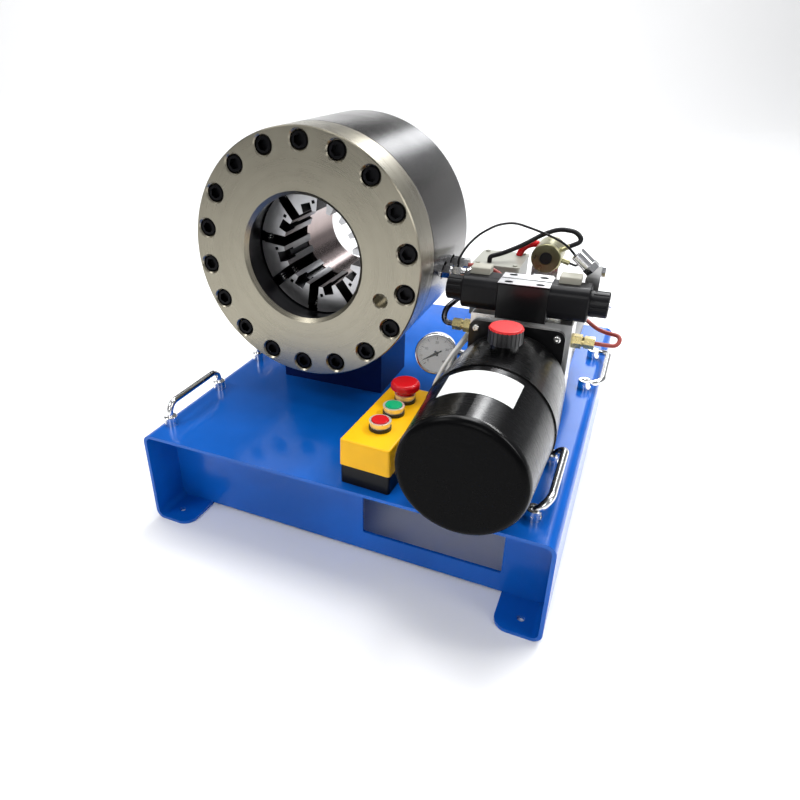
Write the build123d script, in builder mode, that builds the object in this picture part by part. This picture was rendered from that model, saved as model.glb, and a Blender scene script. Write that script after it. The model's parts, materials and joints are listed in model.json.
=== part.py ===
from build123d import *
import os
from math import cos, pi, radians, sin, tan

# Hose crimping machine: a ring-shaped hydraulic crimping head with eight die jaws on a folded
# sheet base, with a small hydraulic power unit and a push-button box beside it.
# Millimetres. X to the right, Y to the back, Z up. The origin is the middle of the four foot
# holes, on the floor. The head's axis and the power unit's axis both run along Y.

os.makedirs("parts", exist_ok=True)

# ---------------------------------------------------------------- driving dimensions
# Base
base_width = 600.0
base_depth = 690.0
base_height = 155.0
sheet = 5.0
bend_radius = 14.0
foot_width = 63.0
foot_corner_radius = 20.0
foot_hole_radius = 5.0
foot_hole_inset_x = 30.5
foot_hole_inset_y = 26.0
panel_sheet = 4.0
panel_recess = 62.0
panel_lip = 25.0
panel_corner_ease = 3.0
window_width = 200.0
window_height = 90.0
window_centre_x = 133.0
window_bottom = 36.0
window_radius = 3.0

# Folding handles
handle_inset = 22.0
handle_shift_front_right = 14.0
handle_pitch = 128.0
handle_rod_radius = 5.0
handle_height = 40.0
handle_bend = 17.0
handle_pivot_height = 9.0
handle_pin_radius = 2.0
handle_pin_length = 19.0
post_radius = 10.0
post_height = 15.0
post_slot_play = 0.3
post_chamfer = 0.8
pin_clearance = 0.05
handle_front_inset = 42.0
handle_rear_left_y = -50.0
handle_rear_right_y = 64.0
lean_front_right = 40.0
lean_rear_right = 78.0

# Crimping head. Each rise in these lists is a height above the base's top plate.
head_x = -110.0
head_rise = 240.0
head_radius = 179.0
head_front_y = -172.0
flange_thickness = 55.0
flange_bore_radius = 90.0
flange_bore_chamfer = 5.5
flange_lip = 14.0
flange_recess_radius = 100.0
flange_edge_chamfer = 1.5
joint_chamfer = 1.0
bolt_count = 18
bolt_circle_radius = 160.5
bolt_phase = 88.3
bolt_shank_radius = 8.0
bolt_hole_play = 0.5
bolt_head_radius = 12.0
bolt_head_height = 16.0
bolt_socket_flats = 14.0
bolt_socket_depth = 8.0
bolt_sink = 2.0
bolt_chamfer = 1.2
bolt_thread_depth = 38.0
counterbore_radius = 13.5
counterbore_chamfer = 2.0
tool_hole_radius = 10.0
tool_hole_chamfer = 1.2
tool_hole_depth = 20.0
tool_hole_circle = 130.0
tool_hole_angle = -20.5
body_length = 170.0
body_rear_wall = 20.0
body_rear_fillet = 6.0
cylinder_radius = 150.0
port_radius = 6.0
port_face_radius = 13.0
port_face_x = 64.0
port_rise = 212.0
port_y_advance = -60.0
port_y_return = -20.0

# Jaws, cone piston and sleeve
jaw_count = 8
jaw_phase = 14.5
jaw_length = 81.7
jaw_inner_radius = 57.0
jaw_front_apothem = 128.6
jaw_gap = 16.0
jaw_stroke = 15.0
jaw_face_radius = 91.5
jaw_face_height = 3.0
jaw_notch_width = 15.6
jaw_notch_radius = 69.7
jaw_notch_length = 24.0
jaw_slot_width = 9.0
jaw_slot_radius = 64.0
jaw_hole_radius = 2.5
jaw_hole_depth = 12.0
jaw_hole_place = 69.0
jaw_hole_offset = 13.5
slide_clearance = 0.3
ramp_slope = 0.3
ramp_clearance = 0.1
spring_bore_radius = 5.5
spring_bore_along = 76.0
spring_bore_depth = 12.0
spring_bore_deep = 18.0
spring_bore_first = 22.0
spring_bore_second = 60.0
piston_clearance = 0.08
piston_base = 15.0
piston_back_gap = 1.0
seal_width = 6.0
seal_depth = 5.0
seal_side_play = 0.1
sleeve_outer_radius = 70.0
sleeve_inner_radius = 62.0
sleeve_fit = 0.06
sleeve_front_gap = 0.5
sleeve_flange_radius = 90.0
sleeve_flange_thickness = 8.0

# Pedestal
pedestal_width = 180.0
pedestal_depth = 110.0
pedestal_front_y = -85.0
pedestal_wall = 12.0
pedestal_side_height = 84.0
saddle_gap = 0.3

# Oil tank and power unit
unit_x = 190.0
unit_rise = 86.0
tank_front_y = -383.0
tank_rear_y = -124.0
tank_seam_y = -258.0
tank_radius = 82.8
tank_front_radius = 76.5
tank_seam_radius = 81.2
tank_rear_radius = 74.5
tank_shoulder = 14.0
tank_rim_radius = 10.0
tank_wall = 2.5
tank_opening_radius = 52.0
neck_y = -196.0
neck_radius = 17.5
neck_bore = 14.5
neck_rise = 184.0
cap_radius = 21.5
cap_skirt = 18.0
cap_disc_radius = 20.3
cap_disc_height = 2.5
cap_neck_play = 0.5
cap_top_thickness = 8.0
cap_lift = 0.3
cap_grooves = 24
cap_edge = 1.0
cap_groove_radius = 0.9
flange_plate_width = 128.0
flange_plate_height = 164.0
flange_plate_thickness = 6.0
flange_plate_radius = 12.0
plate_screw_x = 54.0
plate_screw_z = 71.0
plate_screw_radius = 5.0
plate_screw_shank = 2.5
plate_screw_head = 3.6
plate_screw_dome = 1.8
plate_screw_socket = 2.0
manifold_x = 193.0
manifold_width = 134.0
manifold_depth = 56.0
manifold_top_rise = 176.0
manifold_bottom_rise = 35.0
manifold_chamfer = 1.5
bracket_wall = 6.0
pump_width = 62.0
pump_height = 78.0
pump_length = 66.0
pump_corner = 10.0
pump_bearing_depth = 40.0
shaft_radius = 7.0
shaft_clearance = 0.05
shaft_passage_play = 1.0

# Electric motor
motor_radius = 68.0
motor_wall = 5.0
motor_flange_radius = 58.0
motor_flange_length = 12.0
motor_length = 190.0
motor_end_wall = 12.0
motor_edge = 6.0
motor_end_length = 30.0
motor_seam = 1.5
rotor_radius = 48.0
rotor_gap = 20.0
terminal_box_x = 130.0
terminal_box_y = 32.0
terminal_box_width = 70.0
terminal_box_depth = 80.0
terminal_box_bottom_rise = 130.0
terminal_box_top_rise = 208.0
terminal_lid = 3.0
terminal_corner = 5.0
terminal_wall = 5.0
terminal_screw_inset = 7.0
terminal_screw_radius = 3.5
barrel_gap = 0.3

# Contactor on its bracket
contactor_x = 197.0
contactor_rise = 221.0
contactor_front_y = 20.0
contactor_radius = 21.5
contactor_length = 50.0
contactor_edge = 1.2
contactor_plug_radius = 8.5
contactor_plug_depth = 6.0
contactor_stud_radius = 4.0
contactor_stud_length = 12.0
contactor_stud_y = 42.0
stud_high_angle = 28.0
stud_low_angle = -17.0
contactor_bracket_width = 38.0
contactor_bracket_depth = 30.0
contactor_bracket_sheet = 4.0
contactor_bracket_y = 24.0
bracket_foot_rise = 145.0
bracket_saddle_rise = 207.0
bracket_flange = 12.0

# Directional valve
valve_length = 66.5
valve_depth = 46.0
valve_front_y = -126.0
valve_height = 47.0
valve_cover_height = 3.0
valve_recess = 1.2
valve_groove = 3.0
valve_slot = 2.5
coil_length = 49.0
coil_size = 46.0
coil_radius = 14.0
coil_lift = 5.5
coil_edge = 1.5
coil_nut_radius = 17.0
coil_nut_length = 23.0
coil_nut_ribs = 12
coil_nut_groove = 1.0
coil_nut_edge = 1.5
nut_wall = 3.0
tube_radius = 8.0
pin_radius = 3.0
pin_length = 14.0
pin_travel = 3.0
pin_edge = 0.6
plug_size = 27.0
plug_height = 9.0
plug_setback = 8.0
plug_narrow = 5.0
plug_inset_left = 20.0
plug_inset_right = 21.0
valve_screw_radius = 4.2
valve_screw_pitch_x = 40.5
valve_screw_pitch_y = 31.0

# Pressure switch block
block_left = 240.0
block_right = 281.0
block_step_rise = 191.0
block_front_y = -78.0
block_depth = 17.0
switch_seat_x = 271.0
switch_seat_rise = 238.0
switch_tilt = 40.8
switch_radius = 9.5
switch_seat_half = 12.0
switch_hex = 19.0
switch_hex_length = 9.0
switch_length = 31.0
switch_edge = 1.2
block_nut = 13.0
block_nut_length = 5.0

# Pipes and fittings
fitting_rise = 148.0
fitting_left_y = -100.0
fitting_right_y = -98.0
fitting_hex = 17.0
fitting_collar_radius = 7.0
fitting_step = 13.0
fitting_collar = 3.0
fitting_nut = 15.0
union_hex = 19.0
union_length = 14.0
nipple_hex = 17.0
head_elbow_radius = 7.0
head_elbow_ball = 8.0
head_elbow_reach = 10.0
head_elbow_drop = 16.0
pipe_seat = 6.0
pipe_seat_play = 0.05
pipe_left_radius = 4.0
pipe_right_radius = 2.8
pipe_left_lead = 15.0
pipe_right_lead = 28.0
pipe_right_reach = 30.0
pipe_start = 0.5

# Pressure gauge
gauge_elbow_x = 67.5
gauge_elbow_y = -68.5
gauge_elbow_rise = 88.7
gauge_reach = 40.0
gauge_yaw = 12.0
gauge_tilt = 13.0
gauge_case_radius = 29.5
gauge_bezel_radius = 31.5
gauge_bezel_depth = 7.0
gauge_depth = 26.0
gauge_edge = 2.0
gauge_wall = 2.0
gauge_dial_depth = 6.5
gauge_dial_thickness = 1.0
dial_play = 0.1
gauge_glass_setback = 1.5
gauge_glass_thickness = 1.5
gauge_hub_radius = 3.2
needle_length = 22.0
needle_tail = 9.0
needle_width = 2.2
needle_thickness = 0.8
needle_tip = 0.4
needle_lift = 1.0
needle_rest_angle = 210.0
needle_spindle_radius = 1.0
needle_spindle_length = 6.0
gauge_stem_radius = 6.0
elbow_radius = 9.5
nipple_radius = 5.0

# Push-button box
box_corner_x = 21.0
box_rear_y = -161.0
box_yaw = -2.7
box_width = 71.0
box_length = 170.0
box_base_height = 28.0
box_base_inset = 1.0
box_cover_height = 38.0
box_wall = 3.0
box_radius = 4.0
box_draft = 1.2
cover_edge = 2.5
button_x = 36.5
button_red_y = 46.7
button_green_y = 90.0
button_estop_y = 129.0
bezel_radius = 14.75
bezel_height = 8.0
bezel_flare = 1.4
bezel_cone = 9.0
bezel_tube_radius = 12.0
bezel_nut_radius = 15.5
bezel_nut_height = 5.0
gasket_height = 4.5
button_radius = 11.5
button_stem_radius = 6.0
button_stem_length = 18.0
button_height = 7.0
button_rise = 1.5
button_well = 10.5
stem_well = 32.0
estop_radius = 20.0
estop_rise = 6.0
estop_cap_height = 12.0
estop_edge = 5.0
estop_under_edge = 2.5
contact_block = 24.0
contact_depth = 26.0

# Cables
white_cable_radius = 2.75
motor_cable_radius = 3.5
lead_radius = 1.75
stud_high_lead = 19.0
stud_low_lead = 14.0
cable_inset = 10.0

# ---------------------------------------------------------------- places that follow from these
# Every rise is measured from the base's top plate.
head_z = base_height + head_rise
port_z = base_height + port_rise
unit_z = base_height + unit_rise
manifold_top = base_height + manifold_top_rise
manifold_bottom = base_height + manifold_bottom_rise
terminal_box_bottom = base_height + terminal_box_bottom_rise
terminal_box_top = base_height + terminal_box_top_rise
contactor_z = base_height + contactor_rise
bracket_foot_z = base_height + bracket_foot_rise
bracket_saddle_z = base_height + bracket_saddle_rise
block_step_z = base_height + block_step_rise
switch_seat_z = base_height + switch_seat_rise
fitting_z = base_height + fitting_rise
gauge_elbow_z = base_height + gauge_elbow_rise
neck_top = base_height + neck_rise
flange_rear_y = head_front_y + flange_thickness
body_rear_y = flange_rear_y + body_length
handle_x = base_width / 2 - handle_inset
handle_front_y = handle_front_inset - base_depth / 2
inner_width = base_width - 2 * sheet
inner_height = base_height - 2 * sheet
foot_hole_x = base_width / 2 - foot_hole_inset_x
foot_hole_y = base_depth / 2 - foot_hole_inset_y
jaw_front_y = flange_rear_y + slide_clearance
jaw_rear_y = jaw_front_y + jaw_length
half_sector = 180.0 / jaw_count
piston_stroke = jaw_stroke / ramp_slope
piston_rear_y = body_rear_y - body_rear_wall - piston_back_gap
pocket_floor_y = piston_rear_y - piston_base
piston_front_y = jaw_front_y + piston_stroke + piston_back_gap
manifold_front_y = tank_rear_y + flange_plate_thickness
manifold_rear_y = manifold_front_y + manifold_depth
manifold_left = manifold_x - manifold_width / 2
manifold_right = manifold_x + manifold_width / 2
valve_left = manifold_x - valve_length / 2
valve_right = manifold_x + valve_length / 2
valve_middle_y = valve_front_y + valve_depth / 2
coil_z = manifold_top + coil_lift + coil_size / 2
motor_rear_y = manifold_rear_y + motor_flange_length + motor_length
barrel_front_y = manifold_rear_y + motor_flange_length
box_corner_y = box_rear_y - box_length
unit_axis = Axis((unit_x, 0, unit_z), (0, 1, 0))
left_nut_x = manifold_left - 2 * fitting_step - fitting_collar
right_nut_x = manifold_right + 2 * fitting_step + fitting_collar
union_end_x = port_face_x + union_length + fitting_collar + fitting_step
elbow_x = union_end_x + head_elbow_reach
elbow_bottom_z = port_z - head_elbow_drop


def head_plane(y, angle=0.0):
    """Plane across the head's axis at y, facing the front, its x turned by angle from +X."""
    turn = radians(angle)
    return Plane(origin=(head_x, y, head_z), x_dir=(cos(turn), 0, sin(turn)), z_dir=(0, -1, 0))


def facing_front(x, y, z):
    """Plane at a point, facing -Y, with its x along +X and its y up."""
    return Plane(origin=(x, y, z), x_dir=(1, 0, 0), z_dir=(0, -1, 0))


def facing_right(x, y, z):
    """Plane at a point, facing +X, with its x along +Y and its y up."""
    return Plane(origin=(x, y, z), x_dir=(0, 1, 0), z_dir=(1, 0, 0))


def facing_left(x, y, z):
    """Plane at a point, facing -X, with its x along -Y and its y up."""
    return Plane(origin=(x, y, z), x_dir=(0, -1, 0), z_dir=(-1, 0, 0))


def bend_radii(points):
    """Radius of each arc of a route: 0.45 of the shorter run over the tangent of half the turn."""
    radii = []
    for before, corner, after in zip(points, points[1:], points[2:]):
        run_in = Vector(*corner) - Vector(*before)
        run_out = Vector(*after) - Vector(*corner)
        half_turn = radians(run_in.get_angle(run_out)) / 2
        radii.append(0.45 * min(run_in.length, run_out.length) / tan(half_turn))
    return radii


# ================================================================ base
# Top plate, both sides and the turned-in feet are one folded sheet.
with BuildPart() as base_frame:
    with BuildSketch(Plane.XZ):
        with Locations((0, base_height / 2)):
            RectangleRounded(base_width, base_height, bend_radius)
            RectangleRounded(inner_width, inner_height, bend_radius - sheet, mode=Mode.SUBTRACT)
        with Locations((0, sheet / 2)):
            Rectangle(base_width - 2 * foot_width, 2 * sheet, mode=Mode.SUBTRACT)
    extrude(amount=base_depth / 2, both=True)
    foot_edges = (
        base_frame.edges()
        .filter_by(Axis.Z)
        .filter_by(lambda e: abs(abs(e.center().X) - (base_width / 2 - foot_width)) < 0.1)
    )
    fillet(foot_edges, foot_corner_radius)
    with Locations((0, 0, sheet)):
        with GridLocations(2 * foot_hole_x, 2 * foot_hole_y, 2, 2):
            Hole(foot_hole_radius, depth=sheet)
base_frame.part.label = "base_frame"
export_step(base_frame.part, "parts/base_frame.step")

# Cross panel welded between the sides, with a window and a stiffening lip along the bottom.
panel_front_y = -base_depth / 2 + panel_recess
with BuildPart() as front_panel:
    with BuildSketch(facing_front(0, panel_front_y, sheet)):
        with Locations((0, inner_height / 2)):
            RectangleRounded(inner_width, inner_height, bend_radius - sheet + panel_corner_ease)
        with Locations((window_centre_x, window_bottom - sheet + window_height / 2)):
            RectangleRounded(window_width, window_height, window_radius, mode=Mode.SUBTRACT)
    extrude(amount=-panel_sheet)
    with BuildSketch(Plane.XY.offset(sheet)):
        with Locations((0, panel_front_y + panel_sheet / 2 + panel_lip / 2)):
            Rectangle(base_width - 2 * foot_width, panel_lip + panel_sheet)
    extrude(amount=panel_sheet)
front_panel.part.label = "front_panel"
export_step(front_panel.part, "parts/front_panel.step")

# Welded box under the head, its four walls cut to the head's round.
with BuildPart() as head_pedestal:
    pedestal_y = pedestal_front_y + pedestal_depth / 2
    with BuildSketch(Plane.XY.offset(base_height)):
        with Locations((head_x, pedestal_y)):
            Rectangle(pedestal_width, pedestal_depth)
            Rectangle(
                pedestal_width - 2 * pedestal_wall,
                pedestal_depth - 2 * pedestal_wall,
                mode=Mode.SUBTRACT,
            )
    extrude(amount=pedestal_side_height)
    with BuildSketch(head_plane(pedestal_front_y - 1)):
        Circle(head_radius + saddle_gap)
    extrude(amount=-(pedestal_depth + 2), mode=Mode.SUBTRACT)
head_pedestal.part.label = "head_pedestal"
export_step(head_pedestal.part, "parts/head_pedestal.step")

# ================================================================ folding handles
handle_places = (
    ("handle_front_left", -handle_x, handle_front_y, 0.0),
    ("handle_rear_left", -handle_x, handle_rear_left_y, 0.0),
    ("handle_front_right", handle_x - handle_shift_front_right, handle_front_y, lean_front_right),
    ("handle_rear_right", handle_x, handle_rear_right_y, lean_rear_right),
)
pivot_z = base_height + handle_pivot_height
slot_width = 2 * (handle_rod_radius + post_slot_play)

# Posts: short round pillars, each slotted towards the outside so that the rod can fold over.
with BuildPart() as handle_posts:
    for name, post_x, front_y, lean in handle_places:
        outward = post_radius if post_x > 0 else -post_radius
        for post_y in (front_y, front_y + handle_pitch):
            with BuildSketch(Plane.XY.offset(base_height)):
                with Locations((post_x, post_y)):
                    Circle(post_radius)
            extrude(amount=post_height)
    chamfer(handle_posts.edges().filter_by(GeomType.CIRCLE).group_by(Axis.Z)[-1], post_chamfer)
    for name, post_x, front_y, lean in handle_places:
        outward = post_radius if post_x > 0 else -post_radius
        for post_y in (front_y, front_y + handle_pitch):
            with BuildSketch(Plane.XY.offset(pivot_z - handle_rod_radius - post_slot_play)):
                with Locations((post_x, post_y)):
                    Circle(slot_width / 2)
                with Locations((post_x + outward, post_y)):
                    Rectangle(2 * post_radius, slot_width)
            extrude(amount=post_height, mode=Mode.SUBTRACT)
            with BuildSketch(facing_front(post_x, post_y - post_radius, pivot_z)):
                Circle(handle_pin_radius + pin_clearance)
            extrude(amount=-2 * post_radius, mode=Mode.SUBTRACT)
handle_posts.part.label = "handle_posts"
export_step(handle_posts.part, "parts/handle_posts.step")

# Each handle is a bent rod with a round end and a cross pin in each post.
for name, post_x, front_y, lean in handle_places:
    lean_angle = radians(lean) if post_x > 0 else -radians(lean)
    pivot = (post_x, front_y, pivot_z)
    handle_frame = Plane(
        origin=pivot,
        x_dir=(0, 1, 0),
        z_dir=(cos(lean_angle), 0, -sin(lean_angle)),
    )
    reach = handle_height - handle_pivot_height - handle_rod_radius
    with BuildPart() as handle:
        with BuildLine(handle_frame) as rod_line:
            FilletPolyline((0, 0), (0, reach), (handle_pitch, reach), (handle_pitch, 0), radius=handle_bend)
        rod_section = Plane(origin=handle_frame.origin, z_dir=rod_line.line % 0)
        with BuildSketch(rod_section):
            Circle(handle_rod_radius)
        sweep()
        for along in (0, handle_pitch):
            with Locations(handle_frame.from_local_coords((along, 0, 0))):
                Sphere(handle_rod_radius)
                Cylinder(handle_pin_radius, handle_pin_length, rotation=(90, 0, 0))
    handle.part.label = name
    export_step(handle.part, f"parts/{name}.step")

# ================================================================ crimping head
with BuildPart() as head_flange:
    with BuildSketch(head_plane(flange_rear_y)):
        Circle(head_radius)
        Circle(flange_bore_radius, mode=Mode.SUBTRACT)
    extrude(amount=flange_thickness)
    with BuildSketch(head_plane(flange_rear_y)):
        Circle(flange_recess_radius)
    extrude(amount=flange_thickness - flange_lip, mode=Mode.SUBTRACT)
    front_rings = head_flange.faces().sort_by(Axis.Y)[0].edges().sort_by(SortBy.LENGTH)
    chamfer(front_rings[0], flange_bore_chamfer)
    chamfer(front_rings[1], flange_edge_chamfer)
    rear_rings = head_flange.faces().sort_by(Axis.Y)[-1].edges().sort_by(SortBy.LENGTH)
    chamfer(rear_rings[-1], joint_chamfer)
    with Locations(head_plane(head_front_y)):
        with PolarLocations(bolt_circle_radius, bolt_count, start_angle=bolt_phase):
            CounterBoreHole(
                bolt_shank_radius + bolt_hole_play,
                counterbore_radius,
                bolt_head_height + bolt_sink,
            )
        with PolarLocations(tool_hole_circle, 1, start_angle=tool_hole_angle):
            Hole(tool_hole_radius, depth=tool_hole_depth)
    counterbore_mouths = (
        head_flange.edges()
        .filter_by(GeomType.CIRCLE)
        .filter_by(lambda e: abs(e.radius - counterbore_radius) < 0.01)
        .group_by(Axis.Y)[0]
    )
    chamfer(counterbore_mouths, counterbore_chamfer)
    tool_hole_mouth = (
        head_flange.edges()
        .filter_by(GeomType.CIRCLE)
        .filter_by(lambda e: abs(e.radius - tool_hole_radius) < 0.01)
        .group_by(Axis.Y)[0]
    )
    chamfer(tool_hole_mouth, tool_hole_chamfer)
head_flange.part.label = "head_flange"
export_step(head_flange.part, "parts/head_flange.step")

# Socket cap screws round the flange: one group of separate solids.
with BuildPart() as flange_bolts:
    bolt_seat_y = head_front_y + bolt_head_height + bolt_sink
    bolt_reach = flange_rear_y + bolt_thread_depth - 2 - bolt_seat_y
    with BuildSketch(head_plane(bolt_seat_y)):
        with PolarLocations(bolt_circle_radius, bolt_count, start_angle=bolt_phase):
            Circle(bolt_head_radius)
    extrude(amount=bolt_head_height)
    chamfer(flange_bolts.faces().group_by(Axis.Y)[0].edges(), bolt_chamfer)
    with BuildSketch(head_plane(bolt_seat_y - bolt_head_height)):
        with PolarLocations(bolt_circle_radius, bolt_count, start_angle=bolt_phase):
            RegularPolygon(bolt_socket_flats / 2, 6, major_radius=False)
    extrude(amount=-bolt_socket_depth, mode=Mode.SUBTRACT)
    with BuildSketch(head_plane(bolt_seat_y)):
        with PolarLocations(bolt_circle_radius, bolt_count, start_angle=bolt_phase):
            Circle(bolt_shank_radius)
    extrude(amount=-bolt_reach)
flange_bolts.part.label = "flange_bolts"
export_step(flange_bolts.part, "parts/flange_bolts.step")

# Cylinder body: open at the front, a rear wall with the sleeve's bore, two side ports.
with BuildPart() as head_body:
    with BuildSketch(head_plane(body_rear_y)):
        Circle(head_radius)
    extrude(amount=body_length)
    fillet(head_body.faces().sort_by(Axis.Y)[-1].edges(), body_rear_fillet)
    chamfer(head_body.faces().sort_by(Axis.Y)[0].edges(), joint_chamfer)
    with BuildSketch(head_plane(flange_rear_y)):
        Circle(cylinder_radius)
    extrude(amount=-(body_length - body_rear_wall), mode=Mode.SUBTRACT)
    with BuildSketch(head_plane(flange_rear_y)):
        Circle(sleeve_outer_radius)
    extrude(amount=-body_length, mode=Mode.SUBTRACT)
    with Locations(head_plane(flange_rear_y)):
        with PolarLocations(bolt_circle_radius, bolt_count, start_angle=bolt_phase):
            Hole(bolt_shank_radius, depth=bolt_thread_depth)
    for port_y in (port_y_advance, port_y_return):
        with BuildSketch(facing_right(port_face_x, port_y, port_z)):
            Circle(port_face_radius)
        extrude(amount=head_radius, mode=Mode.SUBTRACT)
        with BuildSketch(facing_right(port_face_x, port_y, port_z)):
            Circle(port_radius)
        extrude(amount=-(head_radius - cylinder_radius), mode=Mode.SUBTRACT)
head_body.part.label = "head_body"
export_step(head_body.part, "parts/head_body.step")

# Fixed sleeve that the ring piston slides on; its polished bore is the hose passage.
sleeve_front_y = jaw_rear_y + sleeve_front_gap
with BuildPart() as rear_sleeve:
    with BuildSketch(head_plane(sleeve_front_y)):
        Circle(sleeve_outer_radius)
    extrude(amount=-(body_rear_y - sleeve_front_y))
    with BuildSketch(head_plane(body_rear_y)):
        Circle(sleeve_flange_radius)
    extrude(amount=-sleeve_flange_thickness)
    with BuildSketch(head_plane(sleeve_front_y)):
        Circle(sleeve_inner_radius)
    extrude(amount=-(body_rear_y + sleeve_flange_thickness - sleeve_front_y), mode=Mode.SUBTRACT)
    chamfer(rear_sleeve.faces().sort_by(Axis.Y)[-1].edges(), 2)
rear_sleeve.part.label = "rear_sleeve"
export_step(rear_sleeve.part, "parts/rear_sleeve.step")

# Ring piston: its pocket is an eight-sided pyramid, one flat ramp for each jaw.
ramp_front_apothem = jaw_front_apothem + ramp_clearance - ramp_slope * (piston_front_y - jaw_front_y)
ramp_floor_apothem = ramp_front_apothem - ramp_slope * (pocket_floor_y - piston_front_y)
piston_radius = cylinder_radius - piston_clearance
seal_y = piston_rear_y - piston_base / 2
with BuildPart() as piston_cone:
    with BuildSketch(head_plane(piston_front_y)):
        Circle(piston_radius)
    extrude(amount=-(piston_rear_y - piston_front_y))
    with BuildSketch(head_plane(piston_front_y)):
        RegularPolygon(ramp_front_apothem, jaw_count, major_radius=False, rotation=jaw_phase - half_sector)
    with BuildSketch(head_plane(pocket_floor_y)):
        RegularPolygon(ramp_floor_apothem, jaw_count, major_radius=False, rotation=jaw_phase - half_sector)
    loft(mode=Mode.SUBTRACT)
    with BuildSketch(head_plane(piston_rear_y)):
        Circle(sleeve_outer_radius + sleeve_fit)
    extrude(amount=piston_rear_y - piston_front_y, mode=Mode.SUBTRACT)
    with BuildSketch(head_plane(seal_y + seal_width / 2)):
        Circle(piston_radius + 1)
        Circle(piston_radius - seal_depth, mode=Mode.SUBTRACT)
        Circle(sleeve_outer_radius + seal_depth)
        Circle(sleeve_outer_radius - 1, mode=Mode.SUBTRACT)
    extrude(amount=seal_width, mode=Mode.SUBTRACT)
piston_cone.part.label = "piston_cone"
export_step(piston_cone.part, "parts/piston_cone.step")

# Lip seals in the piston's outer and inner grooves.
with BuildPart() as piston_seals:
    with BuildSketch(head_plane(seal_y + seal_width / 2 - seal_side_play)):
        Circle(piston_radius)
        Circle(piston_radius - seal_depth + seal_side_play, mode=Mode.SUBTRACT)
        Circle(sleeve_outer_radius + seal_depth - seal_side_play)
        Circle(sleeve_outer_radius + sleeve_fit, mode=Mode.SUBTRACT)
    extrude(amount=seal_width - 2 * seal_side_play)
piston_seals.part.label = "piston_seals"
export_step(piston_seals.part, "parts/piston_seals.step")

# Eight jaws. Each is a wedge between two flat sides, its back a ramp that follows the piston.
wedge_tip = jaw_gap / 2 / sin(radians(half_sector))
wedge_half_width = (jaw_front_apothem - wedge_tip) * tan(radians(half_sector))
for number in range(jaw_count):
    jaw_angle = jaw_phase + number * 2 * half_sector
    jaw_plane = head_plane(jaw_front_y, jaw_angle)
    with BuildPart() as die_jaw:
        with BuildSketch(jaw_plane):
            with BuildLine():
                Polyline(
                    (wedge_tip, 0),
                    (jaw_front_apothem, wedge_half_width),
                    (jaw_front_apothem, -wedge_half_width),
                    close=True,
                )
            make_face()
            Circle(jaw_inner_radius, mode=Mode.SUBTRACT)
        extrude(amount=-jaw_length)
        ramp_normal = jaw_plane.from_local_coords(Vector(1, 0, -ramp_slope)) - jaw_plane.origin
        ramp_plane = Plane(
            origin=jaw_plane.from_local_coords((jaw_front_apothem, 0, 0)),
            z_dir=ramp_normal,
        )
        split(bisect_by=ramp_plane, keep=Keep.BOTTOM)
        with BuildSketch(jaw_plane):
            with BuildLine():
                Polyline(
                    (wedge_tip, 0),
                    (jaw_front_apothem, wedge_half_width),
                    (jaw_front_apothem, -wedge_half_width),
                    close=True,
                )
            make_face()
            Circle(jaw_face_radius, mode=Mode.INTERSECT)
            Circle(jaw_inner_radius, mode=Mode.SUBTRACT)
        extrude(amount=jaw_face_height)
        with BuildSketch(jaw_plane.offset(jaw_face_height)):
            with Locations((jaw_notch_radius / 2, 0)):
                Rectangle(jaw_notch_radius, jaw_notch_width)
        extrude(amount=-(jaw_notch_length + jaw_face_height), mode=Mode.SUBTRACT)
        with BuildSketch(jaw_plane.offset(jaw_face_height)):
            with Locations((jaw_slot_radius / 2, 0)):
                Rectangle(jaw_slot_radius, jaw_slot_width)
        extrude(amount=-(jaw_length + jaw_face_height), mode=Mode.SUBTRACT)
        with BuildSketch(jaw_plane.offset(jaw_face_height)):
            with Locations((jaw_hole_place, -jaw_hole_offset)):
                Rectangle(2 * jaw_hole_radius, 2 * jaw_hole_radius)
        extrude(amount=-jaw_hole_depth, mode=Mode.SUBTRACT)
        for flank, depth in ((1, spring_bore_depth), (-1, spring_bore_deep)):
            flank_turn = radians(half_sector)
            bore_x = wedge_tip + spring_bore_along * cos(flank_turn)
            bore_y = flank * spring_bore_along * sin(flank_turn)
            outward = jaw_plane.from_local_coords(Vector(-sin(flank_turn), flank * cos(flank_turn), 0))
            for bore_back in (spring_bore_first, spring_bore_second):
                bore_plane = Plane(
                    origin=jaw_plane.from_local_coords((bore_x, bore_y, -bore_back)),
                    z_dir=outward - jaw_plane.origin,
                )
                with BuildSketch(bore_plane):
                    Circle(spring_bore_radius)
                extrude(amount=-depth, mode=Mode.SUBTRACT)
    die_jaw.part.label = f"die_jaw_{number + 1}"
    export_step(die_jaw.part, f"parts/die_jaw_{number + 1}.step")

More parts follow.
